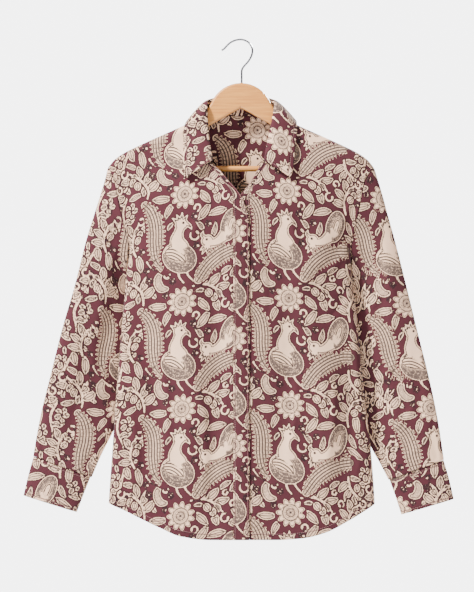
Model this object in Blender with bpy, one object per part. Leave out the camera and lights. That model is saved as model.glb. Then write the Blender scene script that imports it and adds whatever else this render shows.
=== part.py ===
"""A long-sleeved shirt with an open collar, hanging on its wooden hanger.

The shirt hangs flat, as it does on a rail: the front faces -Y, up is +Z, and the
wearer's right is -X. The origin is the inside top of the hook, where the rail
bears. Sizes are in millimetres, and heights are given as "down", the distance
below the rail. Each cloth piece is a thin wall on the same few outlines, so that
pieces that are sewn together lie SEAM_GAP apart.
"""

import math
from typing import NamedTuple

import bmesh
import bpy
from mathutils import Matrix, Vector

MM = 0.001

# Cloth
WALL = 1.4
CUFF_WALL = 1.9
SEAM_GAP = 0.3
CURVED_SEAM_GAP = 0.8
ARMHOLE_GAP = 1.4
WELD = 0.01
RIM_LEAN_LIMIT = 0.2
SEEK_STEPS = 12
RIGHT = -1
LEFT = 1
FRONTWARD = Vector((0, -1, 0))
BACKWARD = Vector((0, 1, 0))

# Body of the shirt
UNDERARM_DOWN = 352.0
LIP = 11.0
TIP_LIP_SHARE = 0.5
FRONT_COLUMNS = 13
COLUMN_CROWDING = 1.5
ROW_CROWDING = 1.7
NECK_ROWS = 8
BODY_ROWS = 17
BODY_CROWDING = 1.25
PLACKET_COLUMNS = 3
BACK_COLUMNS = 22
BACK_ROWS = 22
BACK_CROWDING = 1.4
HEM_CORNER = 200.0
ARMHOLE_KNEE = 262.0
RIDGE_FALL = 110.0
SIDE_FALL = 150.0
ARMHOLE_FALL = 30.0
ARMHOLE_CLOSE = 32.0
NECK_DOWN = 206.8
HEM_ROLL = 838.0
CROWN_POWER = 0.8
CALM_EDGE = 33.0
FOLD_SHARPNESS = 2.0
FOLD_END_POWER = 0.8

# Front closing
LAP_RISE = 3.4
LAP_START = -50.0
LAP_FULL = -14.0
LAP_EDGE_START = 5.4
LAP_EDGE = 13.4
LAP_EDGE_FALL = 1.3
FRONT_BUTTONS = 6
FRONT_BUTTON_FIRST = 318.0
FRONT_BUTTON_PITCH = 84.0
BUTTON_RADIUS = 5.5
BUTTON_THICK = 1.2
CUFF_BUTTON_THICK = 2.2

# Sleeves
SLEEVE_HALF = 14.0
SLEEVE_HALF_LOW = 10.5
SLEEVE_ROUND = 0.8
SLEEVE_COLUMNS = 18
SLEEVE_ROWS = 18
ARMHOLE_BLEND = 0.3
ARMHOLE_GAP_FADE = 0.04
SLEEVE_TUCK = 23.0
TUCK_START = 0.25
TUCK_FADE_FROM = 0.62
TUCK_FADE = 0.8
SLEEVE_CLEAR = 2.4
SLEEVE_CLEAR_REACH = 4.0
SLEEVE_CLEAR_EDGE = 1.0
SLEEVE_CLEAR_START = 0.05
SLEEVE_CALM_TOP = 0.15
SLEEVE_CALM_LOW = 0.1
SLEEVE_BACK_FOLD = 0.6
CUFF_HALF = 9.5
CUFF_TUCK = 4.6
CUFF_ROWS = 2

# Collar
COLLAR_LIFT = 3.9
COLLAR_ROLL = 7.0
COLLAR_OVER_STAND = 0.9
SIDE_TURN = 0.5
SIDE_TURN_EASE = 0.08
STAND_LEAN = 1.06
COLLAR_COLUMNS = 32
STAND_ROWS = 2
LEAF_ROWS = 6
LEAF_LEAN_AT = 0.45
LEAF_LEAN = 4.2

# Hanger
WOOD_THICK = 11.5
WOOD_BEVEL = 3.0
WOOD_BELOW_CLOTH = 4.6
HUMP_TOP = 71.4
HUMP_RADIUS = 54.0
HUMP_EDGE = 50.0
ARM_TOP_OUT = (80.0, 100.0, 125.0, 150.0, 170.0, 184.0)
ARM_END = 192.0
BAR_DOWN = 215.5
BAR_RADIUS = 4.75
BAR_HALF = 183.0
SOCKET_CLEAR = 0.3
SOCKET_OVER = 4.0
WIRE_RADIUS = 1.65
SCREW_DEPTH = 12.0


class SideRow(NamedTuple):
    """How far the armhole and side seam lie from the middle, on each side."""

    down: float
    right: float
    left: float


class RidgeRow(NamedTuple):
    """The line of the shoulders, carried on over the neck as a guide."""

    out: float
    down: float


class HemRow(NamedTuple):
    across: float
    down: float


class DepthRow(NamedTuple):
    """Half the thickness of the hanging shirt, in front of the hanger and behind."""

    down: float
    front: float
    back: float


class EdgeRow(NamedTuple):
    """A front's free edge and the seam beside it, from the middle to its own side."""

    down: float
    free: float
    seam: float


class CollarRow(NamedTuple):
    """One cut across the collar. turn is 0 at the middle of the back, 1 at the front."""

    turn: float
    seam_out: float
    seam_down: float
    roll_out: float
    roll_down: float
    edge_out: float
    edge_down: float


class SleeveRow(NamedTuple):
    """The sleeve's outer and inner edge, from the armhole (0) to the cuff seam (1)."""

    along: float
    outer_out: float
    outer_down: float
    inner_out: float
    inner_down: float


class CuffRow(NamedTuple):
    along: float
    outer_out: float
    outer_down: float
    inner_out: float
    inner_down: float


class WoodRow(NamedTuple):
    out: float
    down: float


class WireRow(NamedTuple):
    across: float
    down: float


class Fold(NamedTuple):
    """A soft fold from one place to another. A positive height stands away from the body."""

    start_x: float
    start_down: float
    end_x: float
    end_down: float
    half_width: float
    height: float


SIDES = (
    SideRow(213, 223, 223),
    SideRow(235, 212.5, 208),
    SideRow(276, 204, 199.5),
    SideRow(318, 193.5, 191),
    SideRow(352, 188, 184.5),
    SideRow(385, 191.5, 185.5),
    SideRow(459, 198.5, 194.5),
    SideRow(537, 205, 201.5),
    SideRow(616, 211.5, 210),
    SideRow(673, 215, 217),
    SideRow(780, 222.5, 225),
    SideRow(860, 226, 228),
)

RIDGE = (
    RidgeRow(0, 62),
    RidgeRow(40, 96),
    RidgeRow(66, 121),
    RidgeRow(92, 140.5),
    RidgeRow(110, 149),
    RidgeRow(138, 161.5),
    RidgeRow(170, 176),
    RidgeRow(198, 190),
    RidgeRow(212, 200),
    RidgeRow(223, 213),
)

HEM = (
    HemRow(-228, 773),
    HemRow(-222, 777),
    HemRow(-197, 788),
    HemRow(-170, 801),
    HemRow(-134, 818),
    HemRow(-100, 832),
    HemRow(-50, 838),
    HemRow(60, 838),
    HemRow(100, 835.5),
    HemRow(140, 826),
    HemRow(180, 806),
    HemRow(207, 790),
    HemRow(225, 778.5),
    HemRow(230, 775),
)

DEPTHS = (
    DepthRow(100, 22, 18),
    DepthRow(205, 28, 20),
    DepthRow(300, 33, 20),
    DepthRow(420, 31, 19),
    DepthRow(600, 25, 16),
    DepthRow(HEM_ROLL, 20, 13),
)

RIGHT_FRONT_EDGE = (
    EdgeRow(121, 58, 66.4),
    EdgeRow(134, 57, 65),
    EdgeRow(158, 54, 62),
    EdgeRow(184, 51.5, 59.5),
    EdgeRow(206, 48.5, 57),
    EdgeRow(220, 34, 42.5),
    EdgeRow(235, 21.8, 31),
    EdgeRow(252, 6.7, 17.5),
    EdgeRow(266, -2.5, 12.6),
    EdgeRow(279, -7, 12.6),
    EdgeRow(290, -11, 12.6),
    EdgeRow(310, -13.4, 12.6),
    EdgeRow(HEM_ROLL, -14, 12.6),
)

LEFT_FRONT_EDGE = (
    EdgeRow(121, 58, 66.4),
    EdgeRow(134, 55, 62.5),
    EdgeRow(158, 49, 56.5),
    EdgeRow(184, 42, 50.5),
    EdgeRow(206, 34.5, 43.5),
    EdgeRow(223, 24.5, 33.5),
    EdgeRow(237, 17, 26.5),
    EdgeRow(252, 5.5, 17),
    EdgeRow(262, -3, 14.5),
    EdgeRow(275, -8, 14.5),
    EdgeRow(290, -9.8, 14.5),
    EdgeRow(HEM_ROLL, -9.8, 14.5),
)

RIGHT_COLLAR = (
    CollarRow(0.00, 0, 126, 0, 95.5, 0, 141),
    CollarRow(0.18, 32, 125, 30, 96.5, 45, 140),
    CollarRow(0.36, 57, 122, 51, 99.5, 80, 138),
    CollarRow(0.50, 66, 121, 57.5, 105, 91.5, 135.5),
    CollarRow(0.58, 64.5, 134, 57.5, 125, 96, 152),
    CollarRow(0.70, 61.5, 158, 56, 158, 96.5, 178),
    CollarRow(0.85, 58.5, 184, 52.5, 183, 96.5, 208),
    CollarRow(1.00, 54, 206, 48.6, 203.5, 95.5, 234),
)

LEFT_COLLAR = (
    CollarRow(0.00, 0, 126, 0, 95.5, 0, 141),
    CollarRow(0.18, 32, 125, 30, 96.5, 45, 140),
    CollarRow(0.36, 57, 122, 51, 99.5, 80, 138),
    CollarRow(0.50, 66, 121, 57.5, 105, 93.5, 135),
    CollarRow(0.58, 62, 134, 55, 125, 94, 150.5),
    CollarRow(0.70, 56, 158, 49.5, 157, 91, 178),
    CollarRow(0.85, 50, 184, 44, 182, 88.5, 208),
    CollarRow(1.00, 43, 206, 40, 204.5, 84, 232),
)

RIGHT_SLEEVE = (
    SleeveRow(0.00, 223, 213, 188, 352),
    SleeveRow(0.05, 229.5, 237, 191.5, 366),
    SleeveRow(0.10, 237, 262, 190, 392),
    SleeveRow(0.16, 246, 290, 184, 420),
    SleeveRow(0.26, 260, 335, 175, 456),
    SleeveRow(0.42, 279, 410, 178, 516),
    SleeveRow(0.58, 301, 486, 186, 574),
    SleeveRow(0.74, 320, 562, 200, 624),
    SleeveRow(0.86, 335, 622, 219, 665),
    SleeveRow(0.93, 342, 657, 236, 699),
    SleeveRow(1.00, 349, 698, 251, 734),
)

LEFT_SLEEVE = (
    SleeveRow(0.00, 223, 213, 184.5, 352),
    SleeveRow(0.05, 231, 237, 188.5, 366),
    SleeveRow(0.10, 238.5, 262, 184, 392),
    SleeveRow(0.16, 246, 290, 177, 422),
    SleeveRow(0.26, 258.5, 335, 173, 460),
    SleeveRow(0.42, 277.5, 410, 177, 524),
    SleeveRow(0.58, 296, 486, 186, 586),
    SleeveRow(0.74, 315, 562, 200, 640),
    SleeveRow(0.86, 328, 622, 219, 684),
    SleeveRow(0.93, 334.5, 660, 233, 709),
    SleeveRow(1.00, 341, 704, 248, 738),
)

RIGHT_CUFF = (
    CuffRow(0.0, 348.5, 699, 253, 733.5),
    CuffRow(0.5, 357.5, 731, 264.5, 762.5),
    CuffRow(1.0, 365.5, 764, 276, 792.5),
)

LEFT_CUFF = (
    CuffRow(0.0, 340.5, 705, 249.5, 737.5),
    CuffRow(0.5, 350, 737.5, 260, 767),
    CuffRow(1.0, 357.5, 770, 269.5, 796.5),
)

FRONT_FOLDS = (
    Fold(-160, 290, -70, 430, 30, 5.0),
    Fold(-118, 400, -95, 850, 34, 6.5),
    Fold(-62, 330, -50, 700, 26, -4.0),
    Fold(155, 290, 75, 440, 30, 5.0),
    Fold(108, 440, 128, 850, 34, 6.5),
    Fold(62, 360, 60, 720, 28, -4.0),
    Fold(172, 420, 165, 760, 26, -4.5),
    Fold(-170, 450, -168, 780, 26, -4.5),
)

BACK_FOLDS = (
    Fold(-40, 200, -55, 850, 36, 5.0),
    Fold(70, 240, 90, 850, 36, 6.0),
    Fold(-130, 330, -120, 820, 30, -3.5),
    Fold(150, 360, 140, 800, 28, -3.5),
)

SLEEVE_FOLDS = (
    Fold(-225, 300, -258, 520, 17, 4.0),
    Fold(-262, 470, -300, 690, 16, -3.0),
    Fold(-215, 420, -262, 600, 15, -2.5),
    Fold(228, 310, 250, 520, 17, 4.0),
    Fold(270, 420, 296, 660, 16, -3.0),
    Fold(222, 500, 262, 690, 15, 2.5),
)

HANGER_UNDERSIDE = (
    WoodRow(0, 113.4),
    WoodRow(52, 142.5),
    WoodRow(100, 167),
    WoodRow(140, 187),
    WoodRow(163, 205),
    WoodRow(174, 222),
    WoodRow(184, 226),
)

HUMP_SHOULDER = (
    WoodRow(58, 117.5),
    WoodRow(64, 125),
    WoodRow(71, 132.5),
)

HOOK_WIRE = (
    WireRow(1.2, 71.2 + SCREW_DEPTH),
    WireRow(1.2, 62),
    WireRow(1.4, 50),
    WireRow(4.9, 43.5),
    WireRow(12.4, 35),
    WireRow(17.6, 25.5),
    WireRow(19.3, 17),
    WireRow(17.2, 9),
    WireRow(12.4, 3),
    WireRow(4.9, -0.9),
    WireRow(-2.7, -WIRE_RADIUS),
    WireRow(-11.3, 0.3),
    WireRow(-19, 4.4),
    WireRow(-24.7, 10),
    WireRow(-28.6, 14.2),
    WireRow(-32.6, 16.6),
)


def blend(low, high, share):
    return low + (high - low) * share


def ease(share):
    """A smooth step from 0 to 1."""
    share = min(max(share, 0.0), 1.0)
    return share * share * (3.0 - 2.0 * share)


def lip_round(share):
    """A quarter circle that starts upright at 0 and is level at 1."""
    share = min(max(share, 0.0), 1.0)
    return math.sqrt(1.0 - (1.0 - share) ** 2)


def crown(share):
    return math.sin(0.5 * math.pi * min(max(share, 0.0), 1.0)) ** CROWN_POWER


def read_table(table, column, at, key=None):
    """Read a column between the rows of a table, on a smooth curve with no overshoot."""
    key = key or table[0]._fields[0]
    places = [getattr(row, key) for row in table]
    values = [getattr(row, column) for row in table]
    if at <= places[0]:
        return values[0]
    if at >= places[-1]:
        return values[-1]
    steps = [b - a for a, b in zip(places, places[1:])]
    rises = [(b - a) / step for a, b, step in zip(values, values[1:], steps)]
    slopes = [rises[0]]
    for before, after in zip(rises, rises[1:]):
        level = before * after <= 0.0
        slopes.append(0.0 if level else 2.0 * before * after / (before + after))
    slopes.append(rises[-1])
    row = max(index for index, place in enumerate(places[:-1]) if place <= at)
    share = (at - places[row]) / steps[row]
    left = values[row] + slopes[row] * steps[row] * share * (1.0 - share) ** 2
    swing = ease(share) * (values[row + 1] - values[row])
    right = -slopes[row + 1] * steps[row] * share * share * (1.0 - share)
    return left + swing + right


def side_edge(side, down):
    return read_table(SIDES, "right" if side == RIGHT else "left", down)


def shoulder_down(out):
    return read_table(RIDGE, "down", out)


def hem_down(across):
    return read_table(HEM, "down", across)


def armhole_half(share):
    """Half the width of the flat armhole ring, at a share of the way down it."""
    share = min(max(share, 0.0), 1.0)
    return SLEEVE_HALF * (2.0 * math.sqrt(share * (1.0 - share))) ** SLEEVE_ROUND


def fold_height(folds, x, down):
    total = 0.0
    for fold in folds:
        start = Vector((fold.start_x, fold.start_down))
        run = Vector((fold.end_x, fold.end_down)) - start
        share = (Vector((x, down)) - start).dot(run) / run.length_squared
        if not 0.0 < share < 1.0:
            continue
        aside = (Vector((x, down)) - start - run * share).length
        across = math.exp(-FOLD_SHARPNESS * (aside / fold.half_width) ** 2)
        total += fold.height * across * math.sin(math.pi * share) ** FOLD_END_POWER
    return total


def half_depth(face, x, down):
    """How far the cloth lies in front of, or behind, the plane of the hanger."""
    side = RIGHT if x < 0 else LEFT
    out = abs(x)
    below = down - shoulder_down(out)
    inside = side_edge(side, down) - out
    tip = SIDES[0].down
    full = read_table(DEPTHS, face, down)
    body = (full - LIP) * ease(below / RIDGE_FALL) * crown(inside / SIDE_FALL)
    lip = LIP * lip_round(below / LIP)
    closed = lip * lip_round(inside / LIP) + body
    ring = armhole_half((down - tip) / (UNDERARM_DOWN - tip))
    opened = blend(max(ring, TIP_LIP_SHARE * lip), lip + body, ease(inside / ARMHOLE_FALL))
    depth = blend(opened, closed, ease((down - UNDERARM_DOWN + ARMHOLE_CLOSE) / ARMHOLE_CLOSE))
    folds = FRONT_FOLDS if face == "front" else BACK_FOLDS
    calm = ease(inside / CALM_EDGE) * ease(below / CALM_EDGE)
    return depth + calm * fold_height(folds, x, down)


def lap_rise(x):
    """The wearer's right front lies on the left one, so it stands a little higher."""
    rise = LAP_RISE * ease((x - LAP_START) / (LAP_FULL - LAP_START))
    return rise - LAP_EDGE_FALL * ease((x - LAP_EDGE_START) / (LAP_EDGE - LAP_EDGE_START))


def front_point(side, x, down):
    rise = lap_rise(x) if side == RIGHT else 0.0
    return Vector((x, -SEAM_GAP / 2 - half_depth("front", x, down) - rise, -down))


def back_point(x, down):
    return Vector((x, SEAM_GAP / 2 + half_depth("back", x, down), -down))


def new_material(name, colour, roughness, metallic=0.0):
    material = bpy.data.materials.new(name)
    material.use_nodes = True
    shader = material.node_tree.nodes["Principled BSDF"]
    shader.inputs["Base Color"].default_value = (*colour, 1.0)
    shader.inputs["Roughness"].default_value = roughness
    shader.inputs["Metallic"].default_value = metallic
    return material


def add_object(name, bm, material, sharp=50.0):
    """Turn a mesh in millimetres into a named object in metres."""
    bmesh.ops.scale(bm, vec=(MM, MM, MM), verts=bm.verts)
    bmesh.ops.recalc_face_normals(bm, faces=bm.faces)
    mesh = bpy.data.meshes.new(name)
    bm.to_mesh(mesh)
    bm.free()
    mesh.shade_smooth()
    mesh.set_sharp_from_angle(angle=math.radians(sharp))
    mesh.materials.append(material)
    item = bpy.data.objects.new(name, mesh)
    bpy.context.scene.collection.objects.link(item)
    return item


def surface_normal(place, u, v, tube):
    """The outward direction of a surface, from two short steps along it."""
    step = 1e-3
    u_low, u_high = (u - step, u + step) if tube else (max(u - step, 0.0), min(u + step, 1.0))
    v_low, v_high = max(v - step, 0.0), min(v + step, 1.0)
    along_u = place(u_high, v) - place(u_low, v)
    along_v = place(u, v_high) - place(u, v_low)
    return along_v.cross(along_u).normalized()


def cloth_piece(name, place, columns, rows, material, faces=FRONTWARD, wall=WALL, tube=False,
                square=None):
    """Make a wall of cloth from an outer surface place(u, v), with u and v from 0 to 1.

    faces is where the outer face looks at the middle of a sheet, or at a quarter of the
    way round a tube. square(u, v) names a direction that the rim at a seam must not lean
    along, so that the two rims of a seam stay parallel. The inner face is a copy of the
    outer one, moved in by the wall, and a rim of faces joins their open edges.
    """
    bm = bmesh.new()
    bmesh.ops.create_grid(bm, x_segments=columns, y_segments=rows, size=0.5)
    inward = {}
    middle = surface_normal(place, 0.25 if tube else 0.5, 0.5, tube)
    thickness = -math.copysign(wall, middle.dot(faces))
    for vert in bm.verts:
        u, v = vert.co.x + 0.5, vert.co.y + 0.5
        normal = surface_normal(place, u, v, tube)
        lean = square(u, v) if square else None
        if lean is not None:
            flat = normal - lean * normal.dot(lean)
            normal = flat.normalized() if flat.length > RIM_LEAN_LIMIT else normal
        inward[vert] = thickness * normal
        vert.co = place(u, v)
    if tube:
        bmesh.ops.remove_doubles(bm, verts=bm.verts, dist=WELD)
    rim = [edge for edge in bm.edges if edge.is_boundary]
    copied = bmesh.ops.duplicate(bm, geom=bm.verts[:] + bm.edges[:] + bm.faces[:])["vert_map"]
    for vert, move in inward.items():
        if vert.is_valid:
            copied[vert].co += move
    for edge in rim:
        first, second = edge.verts
        bm.faces.new((first, second, copied[second], copied[first]))
    bmesh.ops.triangulate(bm, faces=bm.faces)
    return add_object(name, bm, material)


def dense_end(share, power=COLUMN_CROWDING):
    """Spread shares so that they crowd towards 1."""
    return 1.0 - (1.0 - share) ** power


def top_of(side, across_share, edge_at):
    """Where a column that starts on the shoulder line begins, found by a few steps."""
    down = SIDES[0].down
    for _ in range(SEEK_STEPS):
        seam = edge_at(down)
        out = blend(seam, side_edge(side, down), across_share)
        down = 0.5 * (down + shoulder_down(out))
    return down


def body_row(start, low_x, share):
    """Rows below the neck, a little closer together at their start."""
    return blend(start, hem_down(low_x), share ** BODY_CROWDING)


def make_front(side, material):
    """A front, from its closing seam to the side seam and from the shoulder to the hem."""
    name = "front_right" if side == RIGHT else "front_left"
    table = RIGHT_FRONT_EDGE if side == RIGHT else LEFT_FRONT_EDGE

    def seam_at(down):
        return read_table(table, "seam", down) + SEAM_GAP

    def place(u, v):
        share = dense_end(u)
        top = top_of(side, share, seam_at)
        low_x = side * blend(seam_at(HEM_ROLL), side_edge(side, hem_down(side * HEM_CORNER)), share)
        knee = blend(NECK_DOWN, ARMHOLE_KNEE, share)
        rows_down = v * (NECK_ROWS + BODY_ROWS)
        if rows_down <= NECK_ROWS:
            down = blend(top, knee, (rows_down / NECK_ROWS) ** ROW_CROWDING)
        else:
            down = body_row(knee, low_x, (rows_down - NECK_ROWS) / BODY_ROWS)
        x = side * blend(seam_at(down), side_edge(side, down), share)
        return front_point(side, x, down)

    def square(u, v):
        if v == 0.0 or (u == 1.0 and place(u, v).z < -UNDERARM_DOWN):
            return Vector((0, 1, 0))
        if u == 0.0 or u == 1.0:
            return Vector((1, 0, 0))
        return None

    return cloth_piece(name, place, FRONT_COLUMNS, NECK_ROWS + BODY_ROWS, material, square=square)


def make_back(material):
    """The back, one piece from side to side."""

    def collar_seam(out):
        rows = [row for row in RIGHT_COLLAR if row.turn <= 0.5]
        return read_table(rows, "seam_down", out, key="seam_out") + CURVED_SEAM_GAP

    def top_at(x):
        return collar_seam(abs(x)) if abs(x) < RIGHT_COLLAR[3].seam_out else shoulder_down(abs(x))

    def place(u, v):
        side = RIGHT if u < 0.5 else LEFT
        share = dense_end(abs(2.0 * u - 1.0), BACK_CROWDING)
        top = SIDES[0].down
        for _ in range(SEEK_STEPS):
            top = 0.5 * (top + top_at(share * side_edge(side, top)))
        low_x = side * share * side_edge(side, hem_down(side * HEM_CORNER))
        down = blend(top, hem_down(low_x), v ** ROW_CROWDING)
        return back_point(side * share * side_edge(side, down), down)

    def square(u, v):
        at_side = u == 0.0 or u == 1.0
        if v == 0.0 and abs(place(u, v).x) > RIGHT_COLLAR[3].seam_out:
            return Vector((0, 1, 0))
        if at_side and place(u, v).z < -UNDERARM_DOWN:
            return Vector((0, 1, 0))
        if at_side:
            return Vector((1, 0, 0))
        return None

    return cloth_piece("back", place, BACK_COLUMNS, BACK_ROWS, material, faces=BACKWARD,
                       square=square)


def make_placket(side, material):
    """The strip on a front's edge, narrow along the open neck and wide below it."""
    name = "placket_right" if side == RIGHT else "placket_left"
    table = RIGHT_FRONT_EDGE if side == RIGHT else LEFT_FRONT_EDGE

    def place(u, v):
        low_x = side * read_table(table, "seam", HEM_ROLL)
        down = body_row(NECK_DOWN, low_x, v)
        seam = read_table(table, "seam", down)
        out = blend(read_table(table, "free", down), seam, u)
        return front_point(side, side * out, down)

    def square(u, v):
        return Vector((1, 0, 0)) if u == 1.0 else None

    return cloth_piece(name, place, PLACKET_COLUMNS, BODY_ROWS, material, square=square)


def sleeve_point(side, along, round_share):
    """A point on the sleeve's ring: 0 is its outer edge, 0.25 its front, 0.5 its inner edge."""
    table = RIGHT_SLEEVE if side == RIGHT else LEFT_SLEEVE
    angle = 2.0 * math.pi * round_share
    share = (1.0 - math.cos(angle)) / 2.0
    outer = Vector((read_table(table, "outer_out", along), read_table(table, "outer_down", along)))
    inner = Vector((read_table(table, "inner_out", along), read_table(table, "inner_down", along)))
    flat = outer.lerp(inner, share)
    tip, underarm = table[0].outer_down, table[0].inner_down
    armhole_down = blend(tip, underarm, share)
    straight = blend(table[0].outer_out, table[0].inner_out, share)
    flat.x += (side_edge(side, armhole_down) - straight) * (1.0 - ease(along / ARMHOLE_BLEND))
    half = blend(SLEEVE_HALF, SLEEVE_HALF_LOW, ease(along))
    facing = math.copysign(abs(math.sin(angle)) ** SLEEVE_ROUND, math.sin(angle))
    fade = 1.0 - TUCK_FADE * ease((along - TUCK_FADE_FROM) / (1.0 - TUCK_FADE_FROM))
    middle = SLEEVE_TUCK * ease(along / TUCK_START) * fade * ease(share)
    x = side * flat.x
    inside = side_edge(side, flat.y) - flat.x
    if inside > -SLEEVE_CLEAR_EDGE:
        under = min(flat.x, side_edge(side, flat.y) - SLEEVE_CLEAR_EDGE)
        cover = half_depth("back", side * under, flat.y) + SLEEVE_CLEAR
        behind = ease((inside + SLEEVE_CLEAR_EDGE) / SLEEVE_CLEAR_REACH)
        pushed = max(middle, cover * behind + half * abs(facing))
        middle = blend(middle, pushed, ease(along / SLEEVE_CLEAR_START))
    calm = ease(along / SLEEVE_CALM_TOP) * ease((1.0 - along) / SLEEVE_CALM_LOW) * abs(facing)
    fold = fold_height(SLEEVE_FOLDS, x, flat.y) * calm
    y = middle - half * facing - (fold if facing > 0 else -SLEEVE_BACK_FOLD * fold)
    return Vector((x, y, -flat.y))


def make_sleeve(side, material):
    name = "sleeve_right" if side == RIGHT else "sleeve_left"

    def place(u, v):
        gap = ARMHOLE_GAP * (1.0 - ease(v / ARMHOLE_GAP_FADE))
        return sleeve_point(side, v, u) + Vector((side * gap, 0, 0))

    def square(u, v):
        if v == 0.0:
            return Vector((1, 0, 0))
        if v == 1.0:
            return cuff_axis(side)
        return None

    return cloth_piece(name, place, SLEEVE_COLUMNS, SLEEVE_ROWS, material, tube=True, square=square)


def cuff_axis(side):
    table = RIGHT_CUFF if side == RIGHT else LEFT_CUFF
    first, last = table[0], table[-1]
    run = Vector((
        side * (last.outer_out + last.inner_out - first.outer_out - first.inner_out),
        0.0,
        first.outer_down + first.inner_down - last.outer_down - last.inner_down,
    ))
    return run.normalized()


def cuff_point(side, along, round_share):
    table = RIGHT_CUFF if side == RIGHT else LEFT_CUFF
    angle = 2.0 * math.pi * round_share
    share = (1.0 - math.cos(angle)) / 2.0
    outer = Vector((read_table(table, "outer_out", along), read_table(table, "outer_down", along)))
    inner = Vector((read_table(table, "inner_out", along), read_table(table, "inner_down", along)))
    flat = outer.lerp(inner, share)
    middle = CUFF_TUCK * ease(share)
    facing = math.copysign(abs(math.sin(angle)) ** SLEEVE_ROUND, math.sin(angle))
    return Vector((side * flat.x, middle - CUFF_HALF * facing, -flat.y))


def make_cuff(side, material):
    name = "cuff_right" if side == RIGHT else "cuff_left"

    def place(u, v):
        return cuff_point(side, v, u)

    def square(u, v):
        return cuff_axis(side) if v in (0.0, 1.0) else None

    return cloth_piece(name, place, SLEEVE_COLUMNS, CUFF_ROWS, material, wall=CUFF_WALL, tube=True,
                       square=square)


def collar_frame(turn):
    """The collar's seam, roll and leaf edge at one cut, turn from -1 (right) to 1 (left)."""
    side = RIGHT if turn < 0 else LEFT
    table = RIGHT_COLLAR if side == RIGHT else LEFT_COLLAR
    at = abs(turn)
    in_front = at > SIDE_TURN
    face = "front" if in_front else "back"
    way = -1.0 if in_front else 1.0
    read = {field: read_table(table, field, at) for field in CollarRow._fields[1:]}
    seam_depth = half_depth(face, side * read["seam_out"], read["seam_down"])
    under_edge = read["edge_down"] + COLLAR_LIFT
    edge_depth = half_depth(face, side * read["edge_out"], under_edge)
    seam = Vector((side * read["seam_out"], way * seam_depth, -read["seam_down"]))
    roll = Vector((side * read["roll_out"], way * seam_depth * STAND_LEAN, -read["roll_down"]))
    lift = COLLAR_LIFT * min(1.0, abs(at - SIDE_TURN) / SIDE_TURN_EASE)
    edge = Vector((side * read["edge_out"], way * (edge_depth + lift), -read["edge_down"]))
    return seam, roll, edge


def make_stand(material):
    """The band that stands round the neck and holds up the leaf."""

    def place(u, v):
        turn = 2.0 * u - 1.0
        seam, roll, _ = collar_frame(turn)
        return roll.lerp(seam, v)

    return cloth_piece("collar_stand", place, COLLAR_COLUMNS, STAND_ROWS, material, faces=BACKWARD)


def leaf_point(turn, share):
    """A point on the leaf, from the roll over the stand's top (0) to its outer edge (1)."""
    seam, roll, edge = collar_frame(turn)
    step = 0.01
    before = collar_frame(max(turn - step, -1.0))[1]
    after = collar_frame(min(turn + step, 1.0))[1]
    rise = (roll - seam).normalized()
    out = rise.cross(after - before).normalized()
    start = roll + rise * (WALL + SEAM_GAP + COLLAR_OVER_STAND)
    over = start + out * COLLAR_ROLL
    lean = edge.lerp(start, LEAF_LEAN_AT) + out * LEAF_LEAN
    left = 1.0 - share
    curve = start * left ** 3 + over * 3 * left * left * share
    curve += lean * 3 * left * share * share + edge * share ** 3
    return curve


def make_leaf(material):
    """The collar's falling leaf, with a point at each end."""

    def place(u, v):
        return leaf_point(2.0 * u - 1.0, v)

    return cloth_piece("collar_leaf", place, COLLAR_COLUMNS, LEAF_ROWS, material, faces=BACKWARD)


def wood_outline():
    """The hanger's edge as seen from the front, right half, from the top to the underside."""
    top = []
    hump_steps, end_steps = 8, 6
    for step in range(hump_steps + 1):
        angle = math.asin(HUMP_EDGE / HUMP_RADIUS) * step / hump_steps
        top.append((HUMP_RADIUS * math.sin(angle), HUMP_TOP + HUMP_RADIUS * (1 - math.cos(angle))))
    top += [(row.out, row.down) for row in HUMP_SHOULDER]
    top += [(out, shoulder_down(out) + WOOD_BELOW_CLOTH) for out in ARM_TOP_OUT]
    last_out, last_down = top[-1]
    centre_down = 0.5 * (last_down + HANGER_UNDERSIDE[-1].down)
    half = 0.5 * (HANGER_UNDERSIDE[-1].down - last_down)
    for step in range(1, end_steps):
        angle = math.pi * step / end_steps
        reach = (ARM_END - last_out) * math.sin(angle)
        top.append((last_out + reach, centre_down - half * math.cos(angle)))
    under = [(row.out, row.down) for row in reversed(HANGER_UNDERSIDE)]
    return top + under


def make_hanger(material):
    """The flat wooden hanger, with a socket in each arm for the bar and one for the hook."""
    half = wood_outline()
    mirrored = [(-out, down) for out, down in reversed(half) if out > 1e-6]
    bm = bmesh.new()
    front = [bm.verts.new((x, -WOOD_THICK / 2, -down)) for x, down in half + mirrored]
    face = bm.faces.new(front)
    grown = bmesh.ops.extrude_face_region(bm, geom=[face])
    corners = [item for item in grown["geom"] if isinstance(item, bmesh.types.BMVert)]
    bmesh.ops.translate(bm, verts=corners, vec=(0, WOOD_THICK, 0))
    wood = add_object("hanger", bm, material, sharp=35.0)
    bevel = wood.modifiers.new("eased edges", "BEVEL")
    bevel.width = WOOD_BEVEL * MM
    bevel.segments = 2
    bevel.limit_method = "ANGLE"
    bevel.angle_limit = math.radians(50)
    cut_with(wood, rod_mesh("bar_socket", BAR_RADIUS + SOCKET_CLEAR, BAR_HALF + SOCKET_CLEAR))
    hook = HOOK_WIRE[0]
    cut_with(wood, hook_socket(hook.across, hook.down))
    return wood


def rod_mesh(name, radius, half):
    """A round rod along X at the bar's height."""
    bm = bmesh.new()
    bmesh.ops.create_cone(bm, segments=16, radius1=radius, radius2=radius, depth=2 * half,
                          cap_ends=True)
    bmesh.ops.rotate(bm, verts=bm.verts, matrix=Matrix.Rotation(math.radians(90), 3, "Y"))
    bmesh.ops.translate(bm, verts=bm.verts, vec=(0, 0, -BAR_DOWN))
    return name, bm


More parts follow.
